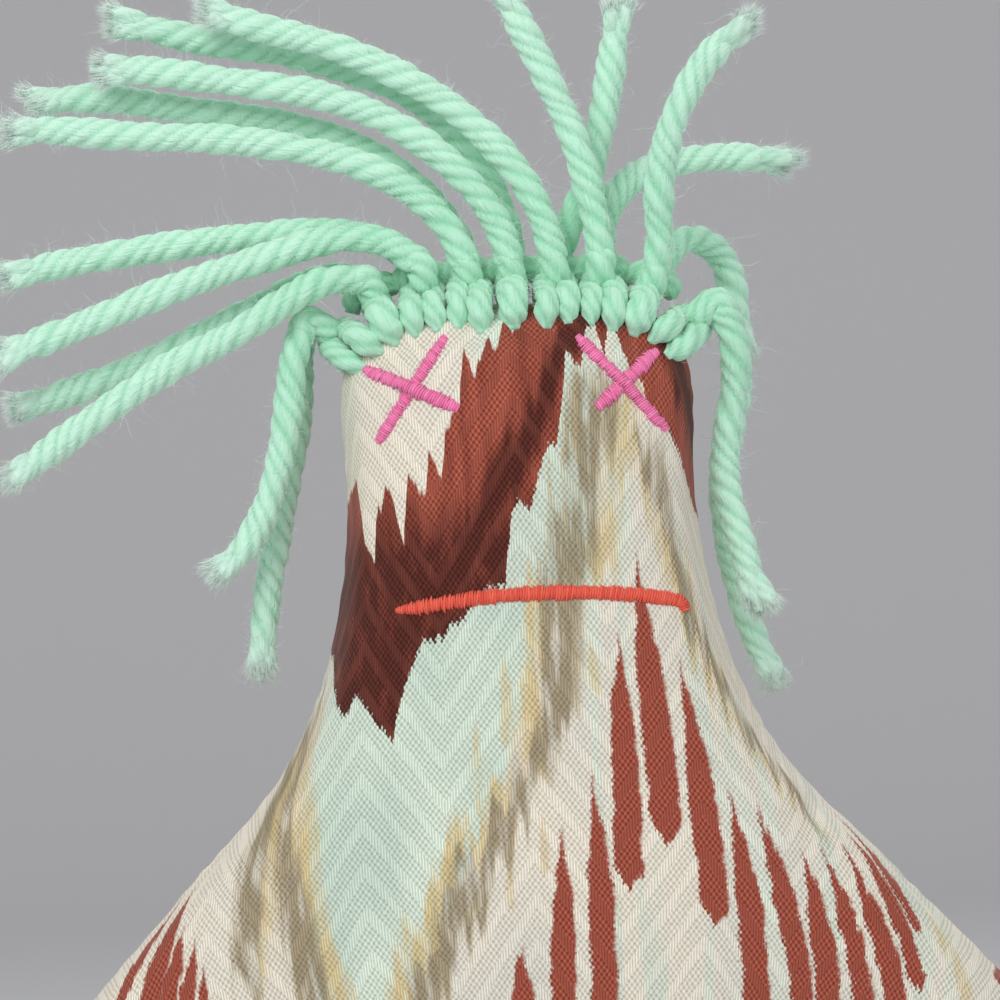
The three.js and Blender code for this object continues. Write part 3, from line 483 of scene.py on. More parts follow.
def lay_flat(panel):
    """Unwraps the panel as one cut of cloth, in metres, upright as the doll stands."""
    take(panel)
    in_edit_mode(
        lambda: bpy.ops.mesh.normals_make_consistent(inside=False),
        lambda: bpy.ops.uv.unwrap(method="MINIMUM_STRETCH", margin=0),
    )
    mesh = panel.data
    layer = mesh.uv_layers.active
    layer.name = "flat"
    corners = flat_corners(layer)
    which = np.empty(len(mesh.loops), int)
    mesh.loops.foreach_get("vertex_index", which)
    front = places(mesh)[which][:, [0, 2]]
    flat = corners - corners.mean(0)
    seen = front - front.mean(0)
    left, _, right = np.linalg.svd(flat.T @ seen)
    turned = flat @ (left @ right)
    grow = cloth_area(mesh) / flat_area(mesh, turned)
    turned *= math.sqrt(grow)
    level = np.abs(seen[:, 0]) < LEVEL_BAND
    turned += (front[level] - turned[level]).mean(0)
    layer.data.foreach_set("uv", turned.ravel())


def cloth_area(mesh):
    return sum(face.area for face in mesh.polygons)


def flat_area(mesh, corners):
    total = 0
    for face in mesh.polygons:
        ring = corners[list(face.loop_indices)]
        after = np.roll(ring, -1, axis=0)
        total += abs((ring[:, 0] * after[:, 1] - ring[:, 1] * after[:, 0]).sum()) / 2
    return total


def shape_seam(panel):
    """Sinks the seam a little and puckers the cloth beside it."""
    mesh = panel.data
    where = places(mesh)
    shell = bmesh.new()
    shell.from_mesh(mesh)
    shell.verts.ensure_lookup_table()
    first = next(v for v in shell.verts if v.is_boundary)
    run = {first.index: 0.0}
    order = [first]
    while True:
        here = order[-1]
        onward = [
            e.other_vert(here) for e in here.link_edges
            if e.is_boundary and e.other_vert(here).index not in run
        ]
        if not onward:
            break
        run[onward[0].index] = run[here.index] + (onward[0].co - here.co).length
        order.append(onward[0])
    edge = KDTree(len(order))
    for vertex in order:
        edge.insert(vertex.co, vertex.index)
    edge.balance()
    out = directions(mesh)
    whole = run[order[-1].index]
    length = whole / round(whole / PUCKER_LENGTH)
    for index, place in enumerate(where):
        if -place[1] > 3 * PUCKER_REACH:
            continue
        _, near, away = edge.find(place)
        turn = 2 * math.pi * run[near] / length
        # Uneven along the seam, in length and in depth
        wave = math.sin(turn + 1.7 * math.sin(turn / 5.3)) * (0.6 + 0.4 * math.sin(turn / 3.1 + 1))
        dip = PUCKER_DEPTH * wave * math.exp(-(away / PUCKER_REACH) ** 2)
        dip -= SEAM_GROOVE * math.exp(-(away / SEAM_GROOVE_REACH) ** 2)
        move = Vector(out[index]) * dip
        if shell.verts[index].is_boundary:
            move.y = 0
        where[index] += move
    where[:, 2] = np.maximum(where[:, 2], 0)
    shell.free()
    put_places(mesh, where)


def front_panel():
    """The front half of the stuffed skin, its edge on the seam, laid flat in its UV map."""
    skin = whole_skin()
    stuff(skin)
    where = places(skin.data)
    near = np.abs(where[:, 1]) < SEAM_SNAP
    where[near, 1] = 0
    put_places(skin.data, where)
    cut(skin, (0, 0, 0), (0, 1, 0))
    smooth_edge(skin, EDGE_ROUNDS)
    lay_flat(skin)
    skin.modifiers.new("finer", "SUBSURF")
    skin.modifiers["finer"].levels = 2
    skin.modifiers["finer"].render_levels = 2
    apply_all(skin)
    shape_seam(skin)
    dent_at_knots(skin)
    return skin


def dent_at_knots(panel):
    """Draws the cloth in where the knots' yarn goes through it."""
    where = places(panel.data)
    out = directions(panel.data)
    inside = where[:, 1] < -SEAM_GROOVE_REACH
    for seat, top in zip(KNOT_SEATS, KNOT_TOPS):
        low, high = np.array(seat) * MM, np.array(top) * MM
        spot = low - (high - low) / np.linalg.norm(high - low) * DENT_BELOW
        away = np.linalg.norm(where[:, [0, 2]] - spot, axis=1)
        where -= out * (inside * DENT_DEPTH * np.exp(-(away / DENT_REACH) ** 2))[:, None]
    put_places(panel.data, where)


def back_panel(front):
    """The back half: the front one turned over, with its own length of the print."""
    back = copy_of(front, "back_panel")
    where = places(back.data)
    where[:, 1] *= -1
    put_places(back.data, where)
    back.data.flip_normals()
    layer = back.data.uv_layers["flat"]
    corners = flat_corners(layer)
    corners[:, 0] = BACK_SHIFT[0] - corners[:, 0]
    corners[:, 1] += BACK_SHIFT[1]
    layer.data.foreach_set("uv", corners.ravel())
    return back


def joined_skin(front, back):
    take(front, back)
    bpy.ops.object.join()
    in_edit_mode(lambda: bpy.ops.mesh.remove_doubles(threshold=2e-6))
    front.data.shade_smooth()
    return front


ARM_OUT = {
    "left": (ARM_END - ARM_START).normalized(),
    "right": Vector((ARM_START.x - ARM_END.x, 0, ARM_END.z - ARM_START.z)).normalized(),
}


def mirrored(point):
    return Vector((-point.x, point.y, point.z))


def arm_root(side):
    return ARM_START if side == "left" else mirrored(ARM_START)


def skin_pieces(skin, cloth):
    """Cuts the skin where its parts begin to bend, so that the head, arm and leg pieces take in their
    folds; attaches the torso piece to the torso and hides the cloth, stuffing and folds that the pieces
    cover.
    """
    torso = copy_of(skin, "torso_skin")
    cut(torso, (0, 0, NECK_START), (0, 0, 1))
    cut(torso, (0, 0, HIP_START), (0, 0, -1))
    for side in ("left", "right"):
        cut(torso, arm_root(side), ARM_OUT[side], ARM_FLOOR)
    head = copy_of(skin, "head_skin")
    cut(head, (0, 0, NECK_START), (0, 0, -1))
    limbs = {}
    for side, sign in (("left", 1), ("right", -1)):
        arm = copy_of(skin, f"{side}_arm_skin")
        cut(arm, arm_root(side), -ARM_OUT[side])
        cut(arm, (0, 0, NECK_START), (0, 0, 1))
        cut(arm, (0, 0, ARM_FLOOR), (0, 0, -1))
        leg = copy_of(skin, f"{side}_leg_skin")
        cut(leg, (0, 0, HIP_START), (0, 0, 1))
        cut(leg, (0, 0, 0), (-sign, 0, 0))
        limbs[f"{side}_arm"] = arm
        limbs[f"{side}_leg"] = leg
    for piece in (torso, head, *limbs.values()):
        piece.data.materials.clear()
        piece.data.materials.append(cloth)
    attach(torso, "torso")
    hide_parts("torso_front_cloth", "torso_back_cloth", "torso_stuffing")
    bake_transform(head)
    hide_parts("head_front_cloth", "head_back_cloth", "head_stuffing", "neck_fold")
    for side, sign in (("left", 1), ("right", -1)):
        arm, leg = limbs[f"{side}_arm"], limbs[f"{side}_leg"]
        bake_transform(arm)
        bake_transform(leg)
        for limb, piece, fold in (("arm", arm, "shoulder"), ("leg", leg, "hip")):
            name = f"{side}_{limb}"
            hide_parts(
                f"{name}_front_cloth", f"{name}_back_cloth", f"{name}_stuffing",
                f"{side}_{fold}_fold",
            )


class Wire:
    """A socket of a finish. Sums with it add Math nodes."""

    def __init__(self, finish, socket):
        self.finish = finish
        self.socket = socket

    def sum_of(self, operation, *values):
        return self.finish.node("Math", {"operation": operation}, values)

    def __add__(self, other):
        return self.sum_of("ADD", self, other)

    __radd__ = __add__

    def __sub__(self, other):
        return self.sum_of("SUBTRACT", self, other)

    def __rsub__(self, other):
        return self.sum_of("SUBTRACT", other, self)

    def __mul__(self, other):
        return self.sum_of("MULTIPLY", self, other)

    __rmul__ = __mul__

    def __truediv__(self, other):
        return self.sum_of("DIVIDE", self, other)

    def size(self):
        return self.sum_of("ABSOLUTE", self)

    def part(self):
        return self.sum_of("FRACT", self)

    def most(self, other):
        return self.sum_of("MAXIMUM", self, other)

    def least(self, other):
        return self.sum_of("MINIMUM", self, other)

    def wrapped(self, low, high):
        return self.sum_of("WRAP", self, high, low)

    def swing(self, length):
        return self.sum_of("PINGPONG", self, length)

    def sine(self):
        return self.sum_of("SINE", self)

    def rise(self, low, high):
        """0 below low, 1 above high, with a soft step between."""
        return self.finish.node("MapRange", {"interpolation_type": "SMOOTHSTEP"}, (self, low, high, 0, 1))


class Finish:
    """A material and its nodes."""

    def __init__(self, name, **constants):
        self.material = bpy.data.materials.new(name)
        self.material.use_nodes = True
        self.tree = self.material.node_tree
        self.shader = next(n for n in self.tree.nodes if n.type == "BSDF_PRINCIPLED")
        for socket, value in constants.items():
            self.shader.inputs[socket.replace("_", " ")].default_value = value

    def node(self, kind, settings=None, values=(), out=0):
        """A node of this kind: settings first, then its sockets' values or links, by place or name."""
        node = self.tree.nodes.new("ShaderNode" + kind)
        for key, value in (settings or {}).items():
            if key == "points":
                set_points(node.mapping, value)
            else:
                setattr(node, key, value)
        pairs = values.items() if isinstance(values, dict) else enumerate(values)
        for key, value in pairs:
            if isinstance(value, Wire):
                self.tree.links.new(value.socket, node.inputs[key])
            else:
                node.inputs[key].default_value = value
        return Wire(self, node.outputs[out])

    def feed(self, name, wire):
        self.tree.links.new(wire.socket, self.shader.inputs[name])

    def mix(self, factor, under, over, blend="MIX"):
        return self.node(
            "Mix", {"data_type": "RGBA", "blend_type": blend}, {0: factor, 6: under, 7: over}, out=2,
        )

    def noise(self, place, scale, detail=2, rough=0.5):
        return self.node(
            "TexNoise", None, {"Vector": place, "Scale": scale, "Detail": detail, "Roughness": rough},
        )

    def place(self, x, y, z=0):
        return self.node("CombineXYZ", None, (x, y, z))

    def map_axes(self, name):
        """Both axes of a UV map."""
        axes = self.node("SeparateXYZ", None, (self.node("UVMap", {"uv_map": name}),))
        return axes, Wire(self, axes.socket.node.outputs[1])


def set_points(mapping, points):
    line = mapping.curves[0]
    line.points[0].location = points[0]
    line.points[1].location = points[-1]
    for x, y in points[1:-1]:
        line.points.new(x, y)
    for point in line.points:
        point.handle_type = "VECTOR"
    mapping.update()


def leaf(flat_u, flat_v, top, bottom, width, ragged):
    """The mask of one printed spindle: pointed at the top, blunt at the bottom."""
    rise = (flat_v - bottom[1]) / (top[1] - bottom[1])
    middle = bottom[0] + (top[0] - bottom[0]) * rise
    half = (1 - rise).rise(-0.04, 0.5) * rise.rise(-0.02, 0.09) * (width / 2)
    within = rise.rise(0, 0.015) * (1 - rise).rise(0, 0.04)
    return (half - (flat_u + ragged - middle).size()).rise(-0.3, 0.4) * within


def leaves(flat_u, flat_v, shapes, ragged):
    mask = None
    for top, bottom, width in shapes:
        one = leaf(flat_u, flat_v, top, bottom, width, ragged)
        mask = one if mask is None else mask.most(one)
    return mask


def bent_line(finish, value, ends, spots, span):
    """A broken line through these spots, read at a value between the ends, with heights over the span."""
    low, high = ends
    points = [((a - low) / (high - low), (b - span[0]) / (span[1] - span[0])) for a, b in spots]
    reach = finish.node("FloatCurve", {"points": points}, {"Value": (value - low) / (high - low)})
    return reach * (span[1] - span[0]) + span[0]


def between_lines(finish, across, up, ragged, ends, upper_line, lower_line):
    """The mask of a printed area between two broken lines."""
    upper = bent_line(finish, across, ends, upper_line, TILE_V)
    lower = bent_line(finish, across, ends, lower_line, TILE_V)
    mask = (upper - up).rise(-0.5, 0.5) * (up + ragged - lower).rise(-0.5, 0.5)
    return mask * (across - ends[0]).rise(0, 1) * (ends[1] - across).rise(0, 1)


def cotton():
    """Dobby cotton: plain weave with herringbone ribs, printed with a feathered ikat."""
    finish = Finish("printed_cotton", Sheen_Weight=0.12, Sheen_Roughness=0.5, Specular_IOR_Level=0.2)
    flat_u, flat_v = finish.map_axes("flat")
    u = flat_u * MM_PER_METRE
    v = flat_v * MM_PER_METRE

    def speckle(across, along, layer, detail):
        """Noise on the flat cloth, by its cells per millimetre across and along the warp."""
        return finish.noise(finish.place(u * across, v * along, layer), 1, detail)

    # Weave: pits between the threads in brick rows, and ribs of long floats in a herringbone
    jitter = (speckle(0.7, 0.7, 6, 1) - 0.5) * 0.5
    across = ((u + jitter) * (2 * math.pi / PIT_SPACING[0])).sine() * 2.2
    down = ((v + jitter * 0.6) * (2 * math.pi / PIT_SPACING[1])).sine()
    weave = across.least(1).most(-1) * down * (down.size() * 0.7 + 0.3)
    zigzag = (u - HERRINGBONE_START).swing(HERRINGBONE_WIDTH) * RIB_SLOPE
    slope = (v + jitter + RIB_RISE - zigzag) / RIB_PITCH
    rib = (0.5 - (slope.part() - 0.5).size()).rise(*RIB_EDGE)
    floats = ((u + jitter * 0.3) * (2 * math.pi / FLOAT_PITCH)).sine() * 0.5 + 0.5
    grain = speckle(1.3, 1.3, 8, 2) - 0.5
    plain = 1 - rib
    pits = weave.rise(-0.05, 0.75) * plain
    tops = (0 - weave).rise(0.1, 0.8) * plain

    # Threads: fine combs along the warp, which feather every printed edge, and the weave's own ragged edge
    fine = speckle(1.5, 0.05, 0, 1) - 0.5
    broad = speckle(0.42, 0.03, 7, 1) - 0.5
    sway = speckle(0.08, 0.09, 3, 2) - 0.5
    dotted = weave * 0.3 + grain * 0.9
    tile_v = (v + fine * 3.4 + broad * 3 + dotted).wrapped(*TILE_V)
    tile_u = (u + sway * 1.2).wrapped(*TILE_U)
    ragged = (speckle(1.3, 1.5, 5, 2) - 0.5) * 0.9 + dotted * 0.6

    # Ground: cream, with mint fields
    patchy = speckle(0.035, 0.02, 1, 2)
    colour = finish.mix(patchy.rise(0.35, 0.7), CREAM, CREAM_GREY)
    mint_edge = bent_line(finish, tile_v, TILE_V, MINT_RIGHT, TILE_U)
    mint = (mint_edge - tile_u + ragged).rise(-0.6, 1.2) * (tile_u - MINT_LEFT).rise(-1.5, 1.5)
    mint = mint * (MINT_TOP - tile_v).rise(-1.5, 1.5)
    cheek = (tile_u + ragged).rise(*CHEEK_LEFT) * (CHEEK_RIGHT - tile_u).rise(-3, 3)
    cheek = cheek * (tile_v - CHEEK_LOW).rise(-1, 2)
    stripes = finish.noise(finish.place(tile_u * 0.22, v * 0.012, 9.0), 1, 1).rise(0.5, 0.62)
    chest = stripes * (tile_u - CHEST_LEFT).rise(-4, 4) * (CHEST_RIGHT - tile_u).rise(-4, 4) * 0.55
    field = mint.most(cheek * 0.8).most(chest)
    mint_tone = finish.mix(patchy.rise(0.4, 0.65), MINT_DEEP, MINT_PALE)
    colour = finish.mix(field, colour, mint_tone)

    # Taupe and gold streaks, broken up along the warp
    broken = speckle(0.5, 0.06, 2, 2).rise(0.32, 0.55)
    combed = tile_v + (speckle(0.45, 0.012, 11, 1) - 0.5) * 30
    for line, half, lean in STREAKS:
        middle = bent_line(finish, combed, TILE_V, line, TILE_U)
        off = tile_u + ragged * 1.5 - middle
        inside = (half - off.size() + fine * 2).rise(-1.6, 1.6)
        last = (combed - line[0][0]).rise(0, 6) * (line[-1][0] - combed).rise(0, 6)
        outer = (off.size() / half + off * lean / half * 0.5 + broad).rise(0.25, 0.95)
        shade = finish.mix(outer, TAUPE, GOLD)
        colour = finish.mix(inside * last * (broken * 0.6 + 0.3), colour, shade)
    gold = leaves(tile_u, tile_v, GOLD_LEAVES, ragged)
    colour = finish.mix(gold * (broken * 0.45 + 0.15), colour, GOLD)

    # Russet areas with a dark core, and the spindles
    area = between_lines(finish, tile_u, tile_v, ragged, RUSSET_U, RUSSET_UPPER, RUSSET_LOWER)
    beside = (tile_u + TILE_U[1]).wrapped(*TILE_U)
    area = area.most(between_lines(finish, beside, tile_v, ragged, PATCH_U, PATCH_UPPER, PATCH_LOWER))
    heart = bent_line(finish, tile_u, RUSSET_U, RUSSET_CORE, TILE_V)
    core = (CORE_HALF - (tile_v - heart + broad * 8).size()).rise(-3, 4)
    low = (DARK_BELOW - tile_v + broad * 14).rise(-6, 8) * (DARK_RIGHT - tile_u).rise(-4, 4)
    worn = speckle(0.3, 0.05, 4, 2).rise(0.35, 0.65)
    brown = finish.mix(worn, BROWN, RUSSET_LIGHT)
    mottled = speckle(0.4, 0.12, 12, 2).rise(0.45, 0.65)
    dark = core.most(low * (1 - mottled * 0.3)) * (0.97 - rib * 0.18)
    brown = finish.mix(dark, brown, DARK_BROWN)
    wavy = (speckle(0.35, 0.2, 13, 2) - 0.5) * 1.8
    spindles = leaves(tile_u, tile_v, SPINDLES, ragged + wavy)
    colour = finish.mix(spindles, colour, RUSSET)
    colour = finish.mix(area, colour, brown)
    inked = area.most(spindles)

    # Light and shade of the weave over the print
    shadow = pits * (0.33 + inked * 0.25) + (1 - floats) * rib * (0.22 + inked * 0.2) + grain * 0.5 + 0.02
    colour = finish.mix(shadow.most(0), colour, finish.mix(1.0, colour, WEAVE_SHADE, "MULTIPLY"))
    lift = rib * floats * (0.8 - inked * 0.45) + tops * (0.5 + inked * 0.3) + grain * 0.3
    shine = finish.mix(inked, WEAVE_SHINE, RUSSET_SHINE)
    colour = finish.mix(lift.most(0), colour, finish.mix(1.0, colour, shine, "MULTIPLY"))
    height = rib * 0.5 + plain * 0.35 - pits * 0.45 + tops * 0.15 + floats * rib * 0.25 + grain * 0.3
    bump = finish.node("Bump", None, {"Strength": 0.5, "Distance": 0.0003, "Height": height})
    finish.feed("Base Color", colour)
    finish.feed("Roughness", 0.9 - rib * 0.15)
    finish.feed("Normal", bump)
    return finish.material


def yarn():
    """Soft acrylic yarn: painted shade (deeper green) in the twist's grooves, a painted highlight on each
    ply's crown, with fine fibres along it.
    """
    finish = Finish(
        "mint_yarn", Sheen_Weight=0.35, Sheen_Roughness=0.6, Roughness=0.9, Specular_IOR_Level=0.15,
    )
    along, around = finish.map_axes("fibre")
    depth = finish.node("Attribute", {"attribute_name": "depth"}, out="Fac")
    tip = finish.node("Attribute", {"attribute_name": "tip"}, out="Fac")
    streak = finish.noise(finish.place(around * 34, along * 260), 1, 3, 0.65)
    soft = finish.noise(finish.place(along * 140, around * 3, 4.0), 1, 2)
    # Pale mask: partly a painted highlight on each ply's crown from depth, partly random streaks and soft
    # noise, and paler past the first 8 to 40 mm along each length
    pale = depth * 0.25 + streak * 0.5 + soft * 0.5 + along.rise(0.008, 0.04) * 0.3 - 0.2
    colour = finish.mix(pale.rise(0, 1), YARN_MID, YARN_HIGHLIGHT_AND_STREAK)
    # Painted shade in the grooves between the plies, then darker random streaks
    colour = finish.mix((0.6 - depth).most(0) * 0.5, colour, YARN_SHADE_AND_STREAK)
    colour = finish.mix((0.5 - streak).rise(0.02, 0.25) * 0.3, colour, YARN_SHADE_AND_STREAK)
    colour = finish.mix(tip * 0.8, colour, YARN_TIP)
    bump = finish.node("Bump", None, {"Strength": 0.8, "Distance": 0.0005, "Height": streak + soft * 0.5})
    finish.feed("Base Color", colour)
    finish.feed("Normal", bump)
    return finish.material


def loose_fibre():
    """The yarn's single fibres, paler than the twist."""
    finish = Finish("loose_fibre", Sheen_Weight=0.3, Roughness=0.85, Specular_IOR_Level=0.15)
    spot = finish.node("TexCoord", out="Object")
    shade = finish.noise(spot, 700, 2)
    finish.feed("Base Color", finish.mix(shade.rise(0.3, 0.6), YARN_TIP, FIBRE_TIP))
    return finish.material


def thread(name, hollow_shade, plain, strand_highlight):
    """Embroidery thread: a soft shine and fine strands across each stitch, with a painted highlight on some
    strands and painted shade in the ply's low spots.
    """
    finish = Finish(name, Sheen_Weight=0.15, Sheen_Roughness=0.4, Specular_IOR_Level=0.35)
    _, number = finish.map_axes("strand")
    each = finish.noise(finish.place(number * 0.83, 0), 1, 1)
    spot = finish.node("TexCoord", out="Object")
    ply = finish.noise(spot, 5200, 2)
    # Some strands lighter at random, partly painted highlight and partly random tone; then painted shade in
    # the low spots of the ply noise that also sets the bump
    colour = finish.mix(each.rise(0.3, 0.7), plain, strand_highlight)
    colour = finish.mix((0.55 - ply).rise(0, 0.3) * 0.6, colour, hollow_shade)
    bump = finish.node("Bump", None, {"Strength": 0.4, "Distance": 0.0002, "Height": ply})
    finish.feed("Base Color", colour)
    finish.feed("Roughness", 0.45 + ply * 0.2)
    finish.feed("Normal", bump)
    return finish.material


def smooth_route(points, spacing):
    """Evenly spaced points of a rounded line through these points."""
    spots = [Vector(p) for p in points]
    spots.insert(0, spots[0] * 2 - spots[1])
    spots.append(spots[-1] * 2 - spots[-2])
    fine = []
    for a, b, c, d in zip(spots, spots[1:], spots[2:], spots[3:]):
        before, within, after = ((q - p).length ** 0.5 for p, q in ((a, b), (b, c), (c, d)))
        start = ((b - a) / before - (c - a) / (before + within) + (c - b) / within) * within
        end = ((c - b) / within - (d - b) / (within + after) + (d - c) / after) * within
        for step in range(ROUTE_STEPS):
            t = step / ROUTE_STEPS
            bend = (b - c) * 2 + start + end
            fine.append(b + start * t + ((c - b) * 3 - start * 2 - end) * t * t + bend * t ** 3)
    fine.append(spots[-2])
    lengths = np.cumsum([0] + [(q - p).length for p, q in zip(fine, fine[1:])])
    count = max(8, round(lengths[-1] / spacing))
    even = np.linspace(0, lengths[-1], count + 1)
    line = np.array(fine)
    return np.column_stack([np.interp(even, lengths, line[:, axis]) for axis in range(3)])


def carried_frames(line):
    """A tangent and two cross directions at each point, turned as little as possible along the line."""
    along = unit(np.gradient(line, axis=0))
    side = unit(np.cross(along[0], FIRST_SIDE))
    sides = []
    for tangent in along:
        side = unit(side - tangent * side.dot(tangent))
        sides.append(side)
    sides = np.array(sides)
    return along, sides, np.cross(along, sides)


def tube_faces(run, sides):
    """Faces, and face-corner places along and around, of a tube with closed ends."""
    faces, corners = [], []
    for ring in range(len(run) - 1):
        low, high = ring * sides, (ring + 1) * sides
        for side in range(sides):
            beside = (side + 1) % sides
            faces.append((low + side, low + beside, high + beside, high + side))
            left, right = side / sides, (side + 1) / sides
            here, ahead = run[ring], run[ring + 1]
            corners += [(here, left), (here, right), (ahead, right), (ahead, left)]
    last = (len(run) - 1) * sides
    faces.append(tuple(range(sides))[::-1])
    faces.append(tuple(range(last, last + sides)))
    corners += [(run[0], 0)] * sides + [(run[-1], 0)] * sides
    return faces, corners


def lengths_along(line):
    return np.concatenate(([0], np.cumsum(np.linalg.norm(np.diff(line, axis=0), axis=1))))


class Yarn:
    """Twisted lengths gathered for one piece, with a fibre map and each place's height out of the twist."""

    def __init__(self, seed):
        self.draw = np.random.default_rng(seed)
        self.vertices, self.faces, self.corners = np.empty((0, 3)), [], []
        self.depths, self.tips = [], []

    def wave(self, run, length, size):
        return size * np.sin(run / length + self.draw.uniform(0, 2 * math.pi))

    def lay(self, line, width, start_taper, end_taper, pale_end=0.0):
        """Lays a length of yarn along a line: one tube, drawn in at its ends, grooved between its plies."""
        _, across, up = carried_frames(line)
        run = lengths_along(line)
        start = self.draw.uniform(0, 2 * math.pi)
        turn = start - 2 * math.pi * run / PLY_LEAD
        for length, size in TURN_WAVES:
            turn = turn + self.wave(run, length, size)
        drawn_in = np.clip(run / start_taper, FIRST_WIDTH, 1) ** 0.5
        drawn_in = drawn_in * np.clip((run[-1] - run) / end_taper, LAST_WIDTH, 1) ** 0.5
        swell = 1
        for length, size in SWELL_WAVES:
            swell = swell + self.wave(run, length, size)
        angles = np.linspace(0, 2 * math.pi, YARN_SIDES, endpoint=False)
        twist = angles[None, :] - turn[:, None]
        uneven = PLY_UNEVEN * np.sin(twist + self.wave(run, UNEVEN_LENGTH, 1)[:, None])
        between = np.sin(PLIES / 2 * (twist + uneven)) ** 2
        groove = GROOVE_WIDE * between + GROOVE_SHARP * between ** 4
        reach = (width / 2 * drawn_in * swell)[:, None] * (1 - PLY_GROOVE * groove)
        out = np.cos(angles)[None, :, None] * across[:, None, :]
        out = out + np.sin(angles)[None, :, None] * up[:, None, :]
        rings = line[:, None, :] + reach[:, :, None] * out
        faces, corners = tube_faces(run, YARN_SIDES)
        self.faces += [tuple(len(self.vertices) + i for i in face) for face in faces]
        self.corners += corners
        self.depths.append((1 - groove).ravel())
        pale = np.clip(1 - (run[-1] - run) / max(pale_end, 1e-6), 0, 1)
        self.tips.append(np.repeat(pale, YARN_SIDES))
        self.vertices = np.concatenate((self.vertices, rings.reshape(-1, 3)))

    def piece(self, name, node, finish):
        made = new_piece(name, self.vertices, self.faces)
        fibre = made.data.uv_layers.new(name="fibre")
        fibre.data.foreach_set("uv", np.array(self.corners).ravel())
        for layer, values in (("depth", self.depths), ("tip", self.tips)):
            attribute = made.data.attributes.new(layer, "FLOAT", "POINT")
            attribute.data.foreach_set("value", np.concatenate(values))
        made.data.materials.append(finish)
        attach(made, "head")
        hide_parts(node)
        return made


def fibres(starts, ways, lengths, radius, curl, steps, draw):
    """Thin three-sided fibres, each bending as it goes, drawn out to a point."""
    count = len(starts)
    line = [starts]
    way = ways
    for _ in range(steps):
        way = unit(way + draw.normal(0, curl, (count, 3)))
        line.append(line[-1] + way * (lengths / steps)[:, None])
    side = unit(np.cross(ways, draw.normal(0, 1, (count, 3))))
    up = np.cross(ways, side)
    rings = []
    for step in range(steps):
        thick = radius * (1 - 0.5 * step / steps)
        for corner in range(3):
            angle = 2 * math.pi * corner / 3
            rings.append(line[step] + thick * (math.cos(angle) * side + math.sin(angle) * up))
    rings.append(line[steps])
    each = len(rings)
    vertices = np.stack(rings, axis=1).reshape(-1, 3)
    pattern = []
    for step in range(steps - 1):
        for corner in range(3):
            beside = (corner + 1) % 3
            low, high = step * 3, step * 3 + 3
            pattern.append((low + corner, low + beside, high + beside, high + corner))
    tip, last = each - 1, (steps - 1) * 3
    pattern += [(last + corner, last + (corner + 1) % 3, tip) for corner in range(3)]
    pattern.append((2, 1, 0))
    faces = [tuple(first + i for i in face) for first in range(0, count * each, each) for face in pattern]
    return vertices, faces


class Fluff:
    """Loose fibres gathered for one piece."""

    def __init__(self, seed):
        self.draw = np.random.default_rng(seed)
        self.vertices, self.faces = np.empty((0, 3)), []

    def add(self, starts, ways, lengths, radius, curl, steps):
        vertices, faces = fibres(starts, ways, lengths, radius, curl, steps, self.draw)
        self.faces += [tuple(len(self.vertices) + i for i in face) for face in faces]
        self.vertices = np.concatenate((self.vertices, vertices))

    def round_yarn(self, line, width):
        """A haze of short hairs round a length of yarn, and a few long curled ones."""
        self.stand_off(line, width, HAZE_SPACING, HAZE_LENGTH, HAZE_RADIUS, HAZE_BEND, HAZE_STEPS)
        self.stand_off(line, width, CURL_SPACING, CURL_LENGTH, CURL_RADIUS, CURL_BEND, CURL_STEPS)

    def stand_off(self, line, width, spacing, length, radius, curl, steps):
        along, across, up = carried_frames(line)
        count = int(lengths_along(line)[-1] / spacing)
        spots = self.draw.integers(0, len(line), count)
        angle = self.draw.uniform(0, 2 * math.pi, count)[:, None]
        out = np.cos(angle) * across[spots] + np.sin(angle) * up[spots]
        starts = line[spots] + out * width * HAIR_ROOT
        ways = out * self.draw.uniform(*HAIR_OUT, (count, 1))
        ways = ways + along[spots] * self.draw.normal(0, HAIR_LEAN, (count, 1))
        low, high = length
        lengths = low + (high - low) * self.draw.uniform(0, 1, count) ** 2
        self.add(starts, unit(ways), lengths, radius, curl, steps)

    def frayed_end(self, line, width):
        """The brush of fibres along the last stretch of a split ply and past its end."""
        along, across, up = carried_frames(line)
        run = lengths_along(line)
        back = FRAY_START * self.draw.uniform(0, 1, FRAY_COUNT)
        spots = np.searchsorted(run, run[-1] - back)
        angle = self.draw.uniform(0, 2 * math.pi, (FRAY_COUNT, 1))
        out = np.cos(angle) * across[spots] + np.sin(angle) * up[spots]
        starts = line[spots] + out * width * HAIR_ROOT * np.sqrt(back / FRAY_START)[:, None]
        ways = along[spots] + out * self.draw.uniform(0, FRAY_OUT, (FRAY_COUNT, 1))
        lengths = back * FRAY_CATCH_UP + self.draw.uniform(*FRAY_LENGTH, FRAY_COUNT)
        self.add(starts, unit(ways), lengths, FRAY_RADIUS, FRAY_BEND, FRAY_STEPS)

    def piece(self, name, finish):
        made = new_piece(name, self.vertices, self.faces)
        made.data.materials.append(finish)
        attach(made, "head")


def split_ends(line, draw):
    """The routes of the plies that come apart at a tail's end."""
    _, across, up = carried_frames(line)
    run = lengths_along(line)
    first = int(np.searchsorted(run, run[-1] - SPLIT_START))
    share = ((run[first:] - run[first]) / SPLIT_START)[:, None]
    turn = draw.uniform(0, 2 * math.pi)
    routes = []
    for number in range(SPLITS):
        angle = turn + 2 * math.pi * number / SPLITS + draw.normal(0, SPLIT_TURN)
        out = math.cos(angle) * across[first] + math.sin(angle) * up[first]
        apart = SPLIT_ROOT + draw.uniform(*SPLIT_SPREAD) * share ** 2
        shorter = draw.integers(0, SPLIT_SHORTER)
        routes.append((line[first:] + out * apart)[:len(share) - shorter])
    return routes


